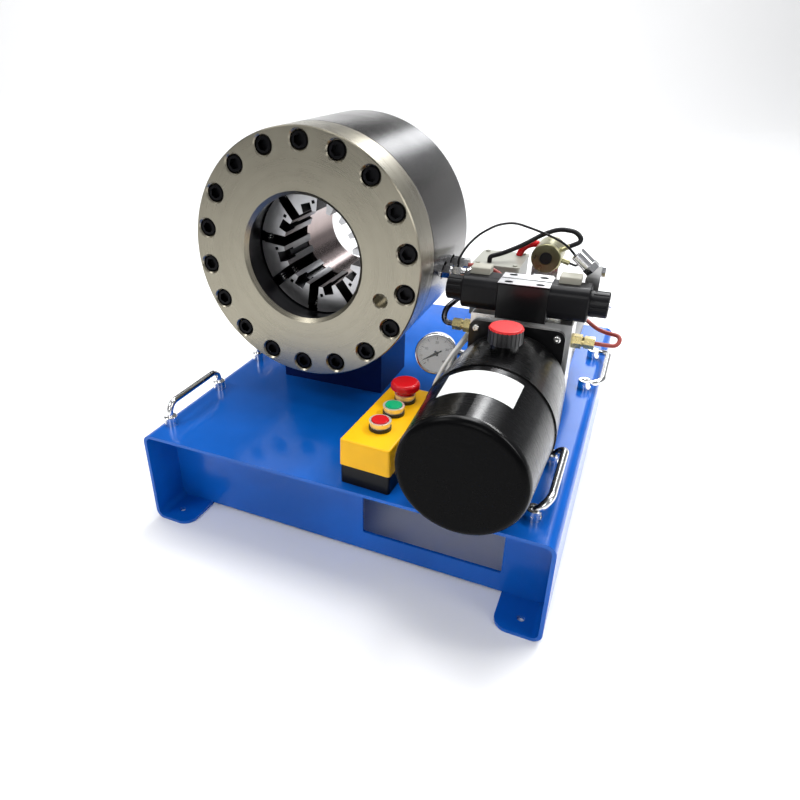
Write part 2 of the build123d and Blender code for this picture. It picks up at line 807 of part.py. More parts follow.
# ================================================================ oil tank and its flange plate
# Drawn shell, closed at the front, its rear wall open round the pump; the neck is welded on top.
with BuildPart() as oil_tank:
    with BuildSketch(facing_right(unit_x, 0, unit_z)) as tank_outline:
        with BuildLine():
            Polyline(
                (tank_front_y, 0),
                (tank_front_y, tank_front_radius),
                (tank_seam_y, tank_seam_radius),
                (tank_seam_y, tank_radius),
                (tank_rear_y, tank_rear_radius),
                (tank_rear_y, 0),
                close=True,
            )
        make_face()
        front_corner = tank_outline.vertices().group_by(Axis.X)[0].sort_by(Axis.Y)[-1]
        fillet(front_corner, tank_rim_radius)
        rear_corner = tank_outline.vertices().group_by(Axis.X)[-1].sort_by(Axis.Y)[-1]
        fillet(rear_corner, tank_shoulder)
    revolve(axis=unit_axis)
    with BuildSketch(Plane.XY.offset(unit_z)):
        with Locations((unit_x, neck_y)):
            Circle(neck_radius)
    extrude(amount=neck_top - unit_z)
    with BuildSketch(facing_right(unit_x, 0, unit_z)) as tank_hollow:
        with BuildLine():
            Polyline(
                (tank_front_y + tank_wall, 0),
                (tank_front_y + tank_wall, tank_front_radius - tank_wall),
                (tank_seam_y, tank_seam_radius - tank_wall),
                (tank_rear_y - tank_wall, tank_rear_radius - tank_wall),
                (tank_rear_y - tank_wall, tank_opening_radius),
                (tank_rear_y + 1, tank_opening_radius),
                (tank_rear_y + 1, 0),
                close=True,
            )
        make_face()
        hollow_corner = tank_hollow.vertices().group_by(Axis.X)[0].sort_by(Axis.Y)[-1]
        fillet(hollow_corner, tank_rim_radius - tank_wall)
        inner_shoulder = tank_hollow.vertices().group_by(Axis.X)[-2].sort_by(Axis.Y)[-1]
        fillet(inner_shoulder, tank_shoulder - tank_wall)
    revolve(axis=unit_axis, mode=Mode.SUBTRACT)
    with BuildSketch(Plane.XY.offset(unit_z)):
        with Locations((unit_x, neck_y)):
            Circle(neck_bore)
    extrude(amount=neck_top - unit_z, mode=Mode.SUBTRACT)
oil_tank.part.label = "oil_tank"
export_step(oil_tank.part, "parts/oil_tank.step")

# Filler cap: a knurled skirt over the neck, with a raised disc on top.
with BuildPart() as filler_cap:
    cap_bottom_z = neck_top + cap_top_thickness + cap_lift - cap_skirt
    with BuildSketch(Plane.XY.offset(cap_bottom_z)):
        with Locations((unit_x, neck_y)):
            Circle(cap_radius)
            with PolarLocations(cap_radius, cap_grooves):
                Circle(cap_groove_radius, mode=Mode.SUBTRACT)
    extrude(amount=cap_skirt)
    with BuildSketch(Plane.XY.offset(cap_bottom_z)):
        with Locations((unit_x, neck_y)):
            Circle(neck_radius + cap_neck_play)
    extrude(amount=cap_skirt - cap_top_thickness, mode=Mode.SUBTRACT)
    with BuildSketch(Plane.XY.offset(cap_bottom_z + cap_skirt)):
        with Locations((unit_x, neck_y)):
            Circle(cap_disc_radius)
    extrude(amount=cap_disc_height)
    fillet(filler_cap.edges().group_by(Axis.Z)[-1], cap_edge)
filler_cap.part.label = "filler_cap"
export_step(filler_cap.part, "parts/filler_cap.step")

with BuildPart() as tank_flange_plate:
    with BuildSketch(facing_front(unit_x, manifold_front_y, unit_z)):
        RectangleRounded(flange_plate_width, flange_plate_height, flange_plate_radius)
        Circle(tank_opening_radius, mode=Mode.SUBTRACT)
        with GridLocations(2 * plate_screw_x, 2 * plate_screw_z, 2, 2):
            Circle(plate_screw_shank + bolt_hole_play, mode=Mode.SUBTRACT)
    extrude(amount=flange_plate_thickness)
tank_flange_plate.part.label = "tank_flange_plate"
export_step(tank_flange_plate.part, "parts/tank_flange_plate.step")

with BuildPart() as flange_plate_screws:
    with BuildSketch(facing_front(unit_x, tank_rear_y, unit_z)):
        with GridLocations(2 * plate_screw_x, 2 * plate_screw_z, 2, 2):
            Circle(plate_screw_radius)
    extrude(amount=plate_screw_head)
    fillet(flange_plate_screws.faces().group_by(Axis.Y)[0].edges(), plate_screw_dome)
    with BuildSketch(facing_front(unit_x, tank_rear_y - plate_screw_head, unit_z)):
        with GridLocations(2 * plate_screw_x, 2 * plate_screw_z, 2, 2):
            RegularPolygon(plate_screw_socket, 6)
    extrude(amount=-2, mode=Mode.SUBTRACT)
    with BuildSketch(facing_front(unit_x, tank_rear_y, unit_z)):
        with GridLocations(2 * plate_screw_x, 2 * plate_screw_z, 2, 2):
            Circle(plate_screw_shank)
    extrude(amount=-(flange_plate_thickness + bracket_wall))
flange_plate_screws.part.label = "flange_plate_screws"
export_step(flange_plate_screws.part, "parts/flange_plate_screws.step")

# ================================================================ manifold, bracket and pump
# Valve block with the shaft passage, and on top of it the pressure switch's column.
with BuildPart() as manifold_block:
    with BuildSketch(facing_front(manifold_x, manifold_rear_y, (manifold_top + manifold_bottom) / 2)):
        Rectangle(manifold_width, manifold_top - manifold_bottom)
    extrude(amount=manifold_depth)
    chamfer(manifold_block.edges().filter_by(Axis.Y), manifold_chamfer)
    tilt = radians(switch_tilt)
    seat_run = (switch_seat_half * sin(tilt), switch_seat_half * cos(tilt))
    with BuildSketch(facing_front(0, block_front_y + block_depth, 0)):
        with BuildLine():
            Polyline(
                (block_left, manifold_top),
                (block_right, manifold_top),
                (block_right, switch_seat_z + seat_run[1]),
                (switch_seat_x + seat_run[0], switch_seat_z + seat_run[1]),
                (switch_seat_x - seat_run[0], switch_seat_z - seat_run[1]),
                (switch_seat_x - seat_run[0], block_step_z),
                (block_left, block_step_z),
                close=True,
            )
        make_face()
    extrude(amount=block_depth)
    with BuildSketch(facing_front(unit_x, manifold_rear_y, unit_z)):
        Circle(shaft_radius + shaft_passage_play)
    extrude(amount=manifold_depth, mode=Mode.SUBTRACT)
    with BuildSketch(facing_front(unit_x, manifold_front_y, unit_z + plate_screw_z)):
        with GridLocations(2 * plate_screw_x, 0, 2, 1):
            Circle(plate_screw_shank + bolt_hole_play)
    extrude(amount=-(bracket_wall + 1), mode=Mode.SUBTRACT)
manifold_block.part.label = "manifold_block"
export_step(manifold_block.part, "parts/manifold_block.step")

with BuildPart() as manifold_bracket:
    bracket_height = manifold_bottom - base_height
    with BuildSketch(facing_right(manifold_left, (manifold_front_y + manifold_rear_y) / 2, base_height)):
        with Locations((0, bracket_height / 2)):
            Rectangle(manifold_depth, bracket_height)
            Rectangle(manifold_depth - 2 * bracket_wall, bracket_height - 2 * bracket_wall, mode=Mode.SUBTRACT)
    extrude(amount=manifold_width)
    with BuildSketch(facing_front(unit_x, manifold_front_y, unit_z - plate_screw_z)):
        with GridLocations(2 * plate_screw_x, 0, 2, 1):
            Circle(plate_screw_shank + bolt_hole_play)
    extrude(amount=-(bracket_wall + 1), mode=Mode.SUBTRACT)
manifold_bracket.part.label = "manifold_bracket"
export_step(manifold_bracket.part, "parts/manifold_bracket.step")

with BuildPart() as gear_pump:
    with BuildSketch(facing_front(unit_x, manifold_front_y, unit_z)):
        RectangleRounded(pump_width, pump_height, pump_corner)
    extrude(amount=pump_length)
    chamfer(gear_pump.faces().sort_by(Axis.Y)[0].edges(), 2)
    with BuildSketch(facing_front(unit_x, manifold_front_y, unit_z)):
        Circle(shaft_radius + shaft_clearance)
    extrude(amount=pump_bearing_depth, mode=Mode.SUBTRACT)
gear_pump.part.label = "gear_pump"
export_step(gear_pump.part, "parts/gear_pump.step")

# ================================================================ electric motor
with BuildPart() as motor_body:
    with BuildSketch(facing_front(unit_x, manifold_rear_y, unit_z)):
        Circle(motor_flange_radius)
    extrude(amount=-motor_flange_length)
    with BuildSketch(facing_front(unit_x, barrel_front_y, unit_z)):
        Circle(motor_radius)
    extrude(amount=-motor_length)
    fillet(motor_body.faces().sort_by(Axis.Y)[-1].edges(), motor_edge)
    with BuildSketch(facing_front(unit_x, motor_rear_y - motor_end_length, unit_z)):
        Circle(motor_radius + 1)
        Circle(motor_radius - motor_seam, mode=Mode.SUBTRACT)
    extrude(amount=-motor_seam, mode=Mode.SUBTRACT)
    with BuildSketch(facing_front(unit_x, barrel_front_y + motor_wall, unit_z)):
        Circle(motor_radius - motor_wall)
    extrude(amount=-(motor_length - motor_end_wall - motor_wall), mode=Mode.SUBTRACT)
    with BuildSketch(facing_front(unit_x, manifold_rear_y, unit_z)):
        Circle(shaft_radius + shaft_clearance)
    extrude(amount=-(motor_flange_length + motor_length), mode=Mode.SUBTRACT)
motor_body.part.label = "motor_body"
export_step(motor_body.part, "parts/motor_body.step")

# Rotor and the shaft that drives the pump, turning in the pump, the flange and the rear wall.
with BuildPart() as motor_rotor:
    with BuildSketch(facing_front(unit_x, motor_rear_y - 2, unit_z)):
        Circle(shaft_radius)
    extrude(amount=motor_rear_y - 2 - manifold_front_y + pump_bearing_depth - 1)
    with BuildSketch(facing_front(unit_x, barrel_front_y + rotor_gap, unit_z)):
        Circle(rotor_radius)
    extrude(amount=-(motor_length - motor_end_wall - 2 * rotor_gap))
motor_rotor.part.label = "motor_rotor"
export_step(motor_rotor.part, "parts/motor_rotor.step")

with BuildPart() as motor_terminal_box:
    with BuildSketch(Plane.XY.offset(terminal_box_bottom)):
        with Locations((terminal_box_x, terminal_box_y)):
            RectangleRounded(terminal_box_width, terminal_box_depth, terminal_corner)
    extrude(amount=terminal_box_top - terminal_box_bottom)
    with BuildSketch(Plane.XY.offset(terminal_box_top)):
        with Locations((terminal_box_x, terminal_box_y)):
            RectangleRounded(terminal_box_width + 2, terminal_box_depth + 2, 6)
    extrude(amount=terminal_lid)
    with BuildSketch(Plane.XY.offset(terminal_box_top + terminal_lid)):
        with Locations((terminal_box_x, terminal_box_y)):
            with GridLocations(
            terminal_box_width - 2 * terminal_screw_inset,
            terminal_box_depth - 2 * terminal_screw_inset,
            2,
            2,
        ):
                Circle(terminal_screw_radius)
    extrude(amount=2)
    with BuildSketch(Plane.XY.offset(terminal_box_bottom + terminal_wall)):
        with Locations((terminal_box_x, terminal_box_y)):
            RectangleRounded(terminal_box_width - 6, terminal_box_depth - 6, 2)
    extrude(amount=terminal_box_top - terminal_box_bottom - terminal_wall, mode=Mode.SUBTRACT)
    with BuildSketch(facing_front(unit_x, barrel_front_y, unit_z)):
        Circle(motor_radius + barrel_gap)
    extrude(amount=-motor_length, mode=Mode.SUBTRACT)
motor_terminal_box.part.label = "motor_terminal_box"
export_step(motor_terminal_box.part, "parts/motor_terminal_box.step")

# ================================================================ contactor on its bracket
with BuildPart() as contactor_bracket:
    with BuildSketch(facing_front(contactor_x, contactor_bracket_y, 0)):
        with Locations((0, (bracket_foot_z + bracket_saddle_z) / 2)):
            Rectangle(contactor_bracket_width, bracket_saddle_z - bracket_foot_z)
            Rectangle(
                contactor_bracket_width - 2 * contactor_bracket_sheet,
                bracket_saddle_z - bracket_foot_z - 2 * bracket_flange,
                mode=Mode.SUBTRACT,
            )
    extrude(amount=-contactor_bracket_depth)
    with BuildSketch(facing_front(unit_x, contactor_bracket_y, unit_z)):
        Circle(motor_radius + barrel_gap)
        with Locations((contactor_x - unit_x, contactor_z - unit_z)):
            Circle(contactor_radius + barrel_gap)
    extrude(amount=-contactor_bracket_depth, mode=Mode.SUBTRACT)
contactor_bracket.part.label = "contactor_bracket"
export_step(contactor_bracket.part, "parts/contactor_bracket.step")

with BuildPart() as contactor:
    contactor_front = facing_front(contactor_x, contactor_front_y, contactor_z)
    with BuildSketch(contactor_front):
        Circle(contactor_radius)
    extrude(amount=-contactor_length)
    chamfer(contactor.faces().sort_by(Axis.Y)[0].edges(), contactor_edge)
    with BuildSketch(contactor_front):
        Circle(contactor_plug_radius + 1)
    extrude(amount=-contactor_plug_depth, mode=Mode.SUBTRACT)
    with BuildSketch(contactor_front.offset(-contactor_plug_depth)):
        Circle(contactor_plug_radius)
    extrude(amount=contactor_plug_depth - 1)
    for stud_angle in (stud_high_angle, stud_low_angle):
        stud_turn = radians(stud_angle)
        stud_plane = Plane(
            origin=(contactor_x, contactor_stud_y, contactor_z),
            z_dir=(cos(stud_turn), 0, sin(stud_turn)),
        )
        with BuildSketch(stud_plane):
            Circle(contactor_stud_radius)
        extrude(amount=contactor_radius + contactor_stud_length)
contactor.part.label = "contactor"
export_step(contactor.part, "parts/contactor.step")

# ================================================================ directional valve
with BuildPart() as valve_body:
    with BuildSketch(Plane.XY.offset(manifold_top)):
        with Locations((manifold_x, valve_middle_y)):
            Rectangle(valve_length, valve_depth)
    extrude(amount=valve_height)
    chamfer(valve_body.edges().filter_by(Axis.Z), 1)
    with BuildSketch(facing_right(valve_left - coil_length - coil_nut_length + nut_wall, valve_middle_y, coil_z)):
        Circle(tube_radius)
    extrude(amount=valve_length + 2 * (coil_length + coil_nut_length - nut_wall))
    for end_plane in (
        facing_left(valve_left - coil_length - coil_nut_length, valve_middle_y, coil_z),
        facing_right(valve_right + coil_length + coil_nut_length, valve_middle_y, coil_z),
    ):
        with BuildSketch(end_plane):
            Circle(pin_radius + slide_clearance)
        extrude(amount=-(pin_length + pin_travel), mode=Mode.SUBTRACT)
valve_body.part.label = "valve_body"
export_step(valve_body.part, "parts/valve_body.step")

# Bright cover on the valve, with a shallow groove and four oval screw recesses.
with BuildPart() as valve_cover:
    with BuildSketch(Plane.XY.offset(manifold_top + valve_height)):
        with Locations((manifold_x, valve_middle_y)):
            Rectangle(valve_length, valve_depth)
    extrude(amount=valve_cover_height)
    with BuildSketch(Plane.XY.offset(manifold_top + valve_height + valve_cover_height)):
        with Locations((manifold_x, valve_middle_y)):
            Rectangle(valve_length, valve_groove)
            with GridLocations(valve_screw_pitch_x, valve_screw_pitch_y, 2, 2):
                SlotCenterToCenter(valve_slot, 2 * valve_screw_radius)
    extrude(amount=-valve_recess, mode=Mode.SUBTRACT)
valve_cover.part.label = "valve_cover"
export_step(valve_cover.part, "parts/valve_cover.step")

# Coils: square blocks with rounded edges, slid over the valve's tubes.
for name, coil_plane in (
    ("solenoid_left", facing_left(valve_left, valve_middle_y, coil_z)),
    ("solenoid_right", facing_right(valve_right, valve_middle_y, coil_z)),
):
    with BuildPart() as solenoid:
        with BuildSketch(coil_plane):
            RectangleRounded(coil_size, coil_size, coil_radius)
        extrude(amount=coil_length)
        outer_rim = solenoid.faces().filter_by(Axis.X).sort_by(lambda f: abs(f.center().X - manifold_x))[-1]
        chamfer(outer_rim.edges(), coil_edge)
        with BuildSketch(coil_plane):
            Circle(tube_radius + slide_clearance)
        extrude(amount=coil_length, mode=Mode.SUBTRACT)
    solenoid.part.label = name
    export_step(solenoid.part, f"parts/{name}.step")

# Ribbed nuts that hold the coils.
with BuildPart() as coil_nuts:
    for nut_plane in (
        facing_left(valve_left - coil_length, valve_middle_y, coil_z),
        facing_right(valve_right + coil_length, valve_middle_y, coil_z),
    ):
        with BuildSketch(nut_plane):
            Circle(coil_nut_radius)
        extrude(amount=coil_nut_length)
    chamfer(coil_nuts.faces().filter_by(Axis.X).sort_by(Axis.X)[0].edges(), coil_nut_edge)
    chamfer(coil_nuts.faces().filter_by(Axis.X).sort_by(Axis.X)[-1].edges(), coil_nut_edge)
    for nut_plane in (
        facing_left(valve_left - coil_length, valve_middle_y, coil_z),
        facing_right(valve_right + coil_length, valve_middle_y, coil_z),
    ):
        with BuildSketch(nut_plane.offset(coil_nut_length)):
            with PolarLocations(coil_nut_radius + coil_nut_groove, coil_nut_ribs):
                Circle(2 * coil_nut_groove)
        extrude(amount=-(coil_nut_length - nut_wall), mode=Mode.SUBTRACT)
        with BuildSketch(nut_plane):
            Circle(tube_radius + slide_clearance)
        extrude(amount=coil_nut_length - nut_wall, mode=Mode.SUBTRACT)
        with BuildSketch(nut_plane):
            Circle(pin_radius + slide_clearance)
        extrude(amount=coil_nut_length, mode=Mode.SUBTRACT)
coil_nuts.part.label = "coil_nuts"
export_step(coil_nuts.part, "parts/coil_nuts.step")

# Manual override pins, one in each nut, pushed inwards against the valve's spring.
for name, pin_plane in (
    ("override_pin_left", facing_left(valve_left - coil_length - coil_nut_length, valve_middle_y, coil_z)),
    ("override_pin_right", facing_right(valve_right + coil_length + coil_nut_length, valve_middle_y, coil_z)),
):
    with BuildPart() as override_pin:
        with BuildSketch(pin_plane.offset(pin_travel)):
            Circle(pin_radius)
        extrude(amount=-pin_length)
        fillet(override_pin.edges(), pin_edge)
    override_pin.part.label = name
    export_step(override_pin.part, f"parts/{name}.step")

# Plug bases on the coils.
with BuildPart() as coil_plugs:
    for plug_x in (valve_left - coil_length + plug_inset_left, valve_right + plug_inset_right):
        with BuildSketch(Plane.XY.offset(coil_z + coil_size / 2)):
            with Locations((plug_x, valve_middle_y + plug_setback)):
                RectangleRounded(plug_size, plug_size - plug_narrow, 2)
        extrude(amount=plug_height)
    chamfer(coil_plugs.faces().group_by(Axis.Z)[-1].edges(), 1)
coil_plugs.part.label = "coil_plugs"
export_step(coil_plugs.part, "parts/coil_plugs.step")

with BuildPart() as pressure_switch:
    block_middle_y = block_front_y + block_depth / 2
    switch_plane = Plane(
        origin=(switch_seat_x, block_middle_y, switch_seat_z),
        x_dir=(0, 1, 0),
        z_dir=(-cos(tilt), 0, sin(tilt)),
    )
    with BuildSketch(switch_plane):
        RegularPolygon(switch_hex / 2, 6, major_radius=False)
    extrude(amount=switch_hex_length)
    with BuildSketch(switch_plane.offset(switch_hex_length)):
        Circle(switch_radius)
    extrude(amount=switch_length - switch_hex_length)
    chamfer(pressure_switch.faces().sort_by(Axis.X)[0].edges(), switch_edge)
    with BuildSketch(facing_right(block_right, block_middle_y, switch_seat_z)):
        RegularPolygon(block_nut / 2, 6, major_radius=False)
    extrude(amount=block_nut_length)
pressure_switch.part.label = "pressure_switch"
export_step(pressure_switch.part, "parts/pressure_switch.step")

# ================================================================ fittings and pipes
# Each adapter is a hexagon screwed into the manifold, a bright collar and a union nut.
with BuildPart() as brass_fittings:
    for side_plane, pipe_radius in (
        (facing_left(manifold_left, fitting_left_y, fitting_z), pipe_left_radius),
        (facing_right(manifold_right, fitting_right_y, fitting_z), pipe_right_radius),
    ):
        with BuildSketch(side_plane):
            RegularPolygon(fitting_hex / 2, 6, major_radius=False)
        extrude(amount=fitting_step)
        with BuildSketch(side_plane.offset(fitting_step)):
            Circle(fitting_collar_radius)
        extrude(amount=fitting_collar)
        with BuildSketch(side_plane.offset(fitting_step + fitting_collar)):
            RegularPolygon(fitting_nut / 2, 6, major_radius=False)
        extrude(amount=fitting_step)
        with BuildSketch(side_plane.offset(2 * fitting_step + fitting_collar)):
            Circle(pipe_radius + pipe_seat_play)
        extrude(amount=-pipe_seat, mode=Mode.SUBTRACT)
brass_fittings.part.label = "brass_fittings"
export_step(brass_fittings.part, "parts/brass_fittings.step")

# Unions on the head, and the elbow that carries the pressure gauge.
yaw = radians(gauge_yaw)
rise = radians(gauge_tilt)
gauge_normal = (sin(yaw) * cos(rise), -cos(yaw) * cos(rise), sin(rise))
gauge_plane = Plane(
    origin=(gauge_elbow_x, gauge_elbow_y, gauge_elbow_z),
    x_dir=(cos(yaw), sin(yaw), 0),
    z_dir=gauge_normal,
).offset(gauge_reach)
with BuildPart() as steel_fittings:
    for port_y in (port_y_advance, port_y_return):
        union_plane = facing_right(port_face_x, port_y, port_z)
        with BuildSketch(union_plane):
            RegularPolygon(union_hex / 2, 6, major_radius=False)
        extrude(amount=union_length)
        with BuildSketch(union_plane.offset(union_length)):
            Circle(fitting_collar_radius)
        extrude(amount=fitting_collar)
        with BuildSketch(union_plane.offset(union_length + fitting_collar)):
            RegularPolygon(fitting_hex / 2, 6, major_radius=False)
        extrude(amount=fitting_step)
    with BuildSketch(facing_right(union_end_x, port_y_return, port_z)):
        Circle(pipe_right_radius + pipe_seat_play)
    extrude(amount=-pipe_seat, mode=Mode.SUBTRACT)
    with BuildSketch(facing_right(union_end_x, port_y_advance, port_z)):
        Circle(head_elbow_radius)
    extrude(amount=elbow_x - union_end_x)
    with Locations((elbow_x, port_y_advance, port_z)):
        Sphere(head_elbow_ball)
    with BuildSketch(Plane.XY.offset(elbow_bottom_z)):
        with Locations((elbow_x, port_y_advance)):
            Circle(head_elbow_radius)
    extrude(amount=port_z - elbow_bottom_z)
    with BuildSketch(Plane.XY.offset(elbow_bottom_z)):
        with Locations((elbow_x, port_y_advance)):
            Circle(pipe_left_radius + pipe_seat_play)
    extrude(amount=pipe_seat, mode=Mode.SUBTRACT)
    with Locations((gauge_elbow_x, gauge_elbow_y, gauge_elbow_z)):
        Sphere(elbow_radius)
    with BuildSketch(gauge_plane.offset(-gauge_reach)):
        Circle(gauge_stem_radius)
    extrude(amount=gauge_reach - gauge_depth)
    with BuildSketch(facing_right(gauge_elbow_x, gauge_elbow_y, gauge_elbow_z)):
        Circle(nipple_radius)
    extrude(amount=manifold_left - gauge_elbow_x)
    with BuildSketch(facing_left(manifold_left, gauge_elbow_y, gauge_elbow_z)):
        RegularPolygon(nipple_hex / 2, 6, major_radius=False)
    extrude(amount=fitting_step)
steel_fittings.part.label = "steel_fittings"
export_step(steel_fittings.part, "parts/steel_fittings.step")


# Routes of the pipes and cables, each from where it starts to where it ends.
pipe_left_route = [
    (left_nut_x + pipe_seat - pipe_start, fitting_left_y, fitting_z),
    (left_nut_x - pipe_left_lead, fitting_left_y, fitting_z),
    (82, -92, base_height + 166),
    (96, -70, base_height + 178),
    (elbow_x, port_y_advance, base_height + 186),
    (elbow_x, port_y_advance, elbow_bottom_z + pipe_seat - pipe_start),
]
pipe_right_route = [
    (right_nut_x - pipe_seat + pipe_start, fitting_right_y, fitting_z),
    (right_nut_x + pipe_right_lead, fitting_right_y, fitting_z),
    (right_nut_x + pipe_right_reach, -86, base_height + 158),
    (right_nut_x + 2, -76, base_height + 158),
    (266, -50, base_height + 165),
    (216, -42, base_height + 183),
    (162, -32, base_height + 195),
    (126, port_y_return, port_z),
    (union_end_x - pipe_seat + pipe_start, port_y_return, port_z),
]

# ================================================================ pressure gauge
with BuildPart() as gauge_case:
    with BuildSketch(gauge_plane.offset(-gauge_depth)):
        Circle(gauge_case_radius)
    extrude(amount=gauge_depth - gauge_bezel_depth)
    with BuildSketch(gauge_plane.offset(-gauge_bezel_depth)):
        Circle(gauge_bezel_radius)
    extrude(amount=gauge_bezel_depth)
    fillet(gauge_case.faces().sort_by(Axis(gauge_plane.origin, gauge_normal))[-1].edges(), gauge_edge)
    with BuildSketch(gauge_plane.offset(-gauge_dial_depth - gauge_dial_thickness)):
        Circle(gauge_case_radius - gauge_wall)
    extrude(amount=gauge_dial_depth + gauge_dial_thickness, mode=Mode.SUBTRACT)
    with BuildSketch(gauge_plane.offset(gauge_wall - gauge_depth)):
        Circle(gauge_case_radius - 2 * gauge_wall)
    extrude(amount=gauge_depth, mode=Mode.SUBTRACT)
gauge_case.part.label = "gauge_case"
export_step(gauge_case.part, "parts/gauge_case.step")

with BuildPart() as gauge_dial:
    with BuildSketch(gauge_plane.offset(-gauge_dial_depth)):
        Circle(gauge_case_radius - gauge_wall - dial_play)
        Circle(needle_spindle_radius + slide_clearance, mode=Mode.SUBTRACT)
    extrude(amount=-gauge_dial_thickness)
gauge_dial.part.label = "gauge_dial"
export_step(gauge_dial.part, "parts/gauge_dial.step")

# Needle with a cross-shaped tail, on a spindle through the dial.
rest = radians(needle_rest_angle)
needle_plane = Plane(
    origin=gauge_plane.origin,
    x_dir=gauge_plane.from_local_coords(Vector(cos(rest), sin(rest), 0)) - gauge_plane.origin,
    z_dir=gauge_normal,
).offset(needle_lift - gauge_dial_depth)
with BuildPart() as gauge_needle:
    with BuildSketch(needle_plane):
        with BuildLine():
            Polyline(
                (0, needle_width),
                (needle_length, needle_tip),
                (needle_length, -needle_tip),
                (0, -needle_width),
                close=True,
            )
        make_face()
        Circle(gauge_hub_radius)
    extrude(amount=needle_thickness)
    with BuildSketch(needle_plane):
        with Locations((-needle_tail / 2, 0)):
            Rectangle(needle_tail, needle_width)
        Rectangle(needle_width, needle_tail)
    extrude(amount=needle_thickness)
    with BuildSketch(needle_plane):
        Circle(needle_spindle_radius)
    extrude(amount=-needle_spindle_length)
gauge_needle.part.label = "gauge_needle"
export_step(gauge_needle.part, "parts/gauge_needle.step")

with BuildPart() as gauge_glass:
    with BuildSketch(gauge_plane.offset(-gauge_glass_setback)):
        Circle(gauge_case_radius - gauge_wall - dial_play)
    extrude(amount=-gauge_glass_thickness)
gauge_glass.part.label = "gauge_glass"
export_step(gauge_glass.part, "parts/gauge_glass.step")

# ================================================================ push-button box
box_turn = radians(box_yaw)
box_plane = Plane(
    origin=(box_corner_x, box_corner_y, base_height),
    x_dir=(cos(box_turn), sin(box_turn), 0),
    z_dir=(0, 0, 1),
)
cover_bottom = box_base_height
cover_top = box_base_height + box_cover_height
button_places = (button_red_y, button_green_y, button_estop_y)

with BuildPart() as control_box_base:
    with BuildSketch(box_plane):
        with Locations((box_width / 2, box_length / 2)):
            RectangleRounded(box_width - 2 * box_base_inset, box_length - 2 * box_base_inset, box_radius)
    extrude(amount=box_base_height)
    with BuildSketch(box_plane.offset(box_wall)):
        with Locations((box_width / 2, box_length / 2)):
            Rectangle(box_width - 2 * box_base_inset - 2 * box_wall, box_length - 2 * box_base_inset - 2 * box_wall)
    extrude(amount=box_base_height, mode=Mode.SUBTRACT)
control_box_base.part.label = "control_box_base"
export_step(control_box_base.part, "parts/control_box_base.step")

with BuildPart() as control_box_cover:
    with BuildSketch(box_plane.offset(cover_bottom)):
        with Locations((box_width / 2, box_length / 2)):
            RectangleRounded(box_width, box_length, box_radius)
    extrude(amount=box_cover_height, taper=box_draft)
    fillet(control_box_cover.faces().sort_by(Axis.Z)[-1].edges(), cover_edge)
    with BuildSketch(box_plane.offset(cover_bottom)):
        with Locations((box_width / 2, box_length / 2)):
            Rectangle(box_width - 2 * box_base_inset - 2 * box_wall, box_length - 2 * box_base_inset - 2 * box_wall)
    extrude(amount=box_cover_height - box_wall, mode=Mode.SUBTRACT)
    with BuildSketch(box_plane.offset(cover_top)):
        with Locations(*[(button_x, place) for place in button_places]):
            Circle(bezel_tube_radius + slide_clearance)
    extrude(amount=-box_cover_height, mode=Mode.SUBTRACT)
control_box_cover.part.label = "control_box_cover"
export_step(control_box_cover.part, "parts/control_box_cover.step")

# Bezels with their gaskets, nuts and contact housings: one group of three.
with BuildPart() as button_bezels:
    for place in button_places:
        with BuildSketch(box_plane.offset(cover_top)):
            with Locations((button_x, place)):
                Circle(bezel_radius)
        extrude(amount=gasket_height)
        with BuildSketch(box_plane.offset(cover_top + gasket_height)):
            with Locations((button_x, place)):
                Circle(bezel_radius - bezel_flare)
        extrude(amount=bezel_height, taper=-bezel_cone)
        with BuildSketch(box_plane.offset(cover_top)):
            with Locations((button_x, place)):
                Circle(bezel_tube_radius)
        extrude(amount=-(box_wall + bezel_nut_height))
        with BuildSketch(box_plane.offset(cover_top - box_wall)):
            with Locations((button_x, place)):
                Circle(bezel_nut_radius)
        extrude(amount=-bezel_nut_height)
        with BuildSketch(box_plane.offset(cover_top - box_wall - bezel_nut_height)):
            with Locations((button_x, place)):
                Rectangle(contact_block, contact_block)
        extrude(amount=-contact_depth)
        with BuildSketch(box_plane.offset(cover_top + gasket_height + bezel_height)):
            with Locations((button_x, place)):
                Circle(button_radius + slide_clearance)
        extrude(amount=-button_well, mode=Mode.SUBTRACT)
        with BuildSketch(box_plane.offset(cover_top + gasket_height + bezel_height)):
            with Locations((button_x, place)):
                Circle(button_stem_radius + slide_clearance)
        extrude(amount=-stem_well, mode=Mode.SUBTRACT)
button_bezels.part.label = "button_bezels"
export_step(button_bezels.part, "parts/button_bezels.step")

button_top = cover_top + gasket_height + bezel_height + button_rise
for name, place in (("button_red", button_red_y), ("button_green", button_green_y)):
    with BuildPart() as button:
        with BuildSketch(box_plane.offset(button_top)):
            with Locations((button_x, place)):
                Circle(button_radius)
        extrude(amount=-button_height)
        fillet(button.faces().sort_by(Axis.Z)[-1].edges(), 1)
        with BuildSketch(box_plane.offset(button_top - button_height)):
            with Locations((button_x, place)):
                Circle(button_stem_radius)
        extrude(amount=-button_stem_length)
    button.part.label = name
    export_step(button.part, f"parts/{name}.step")

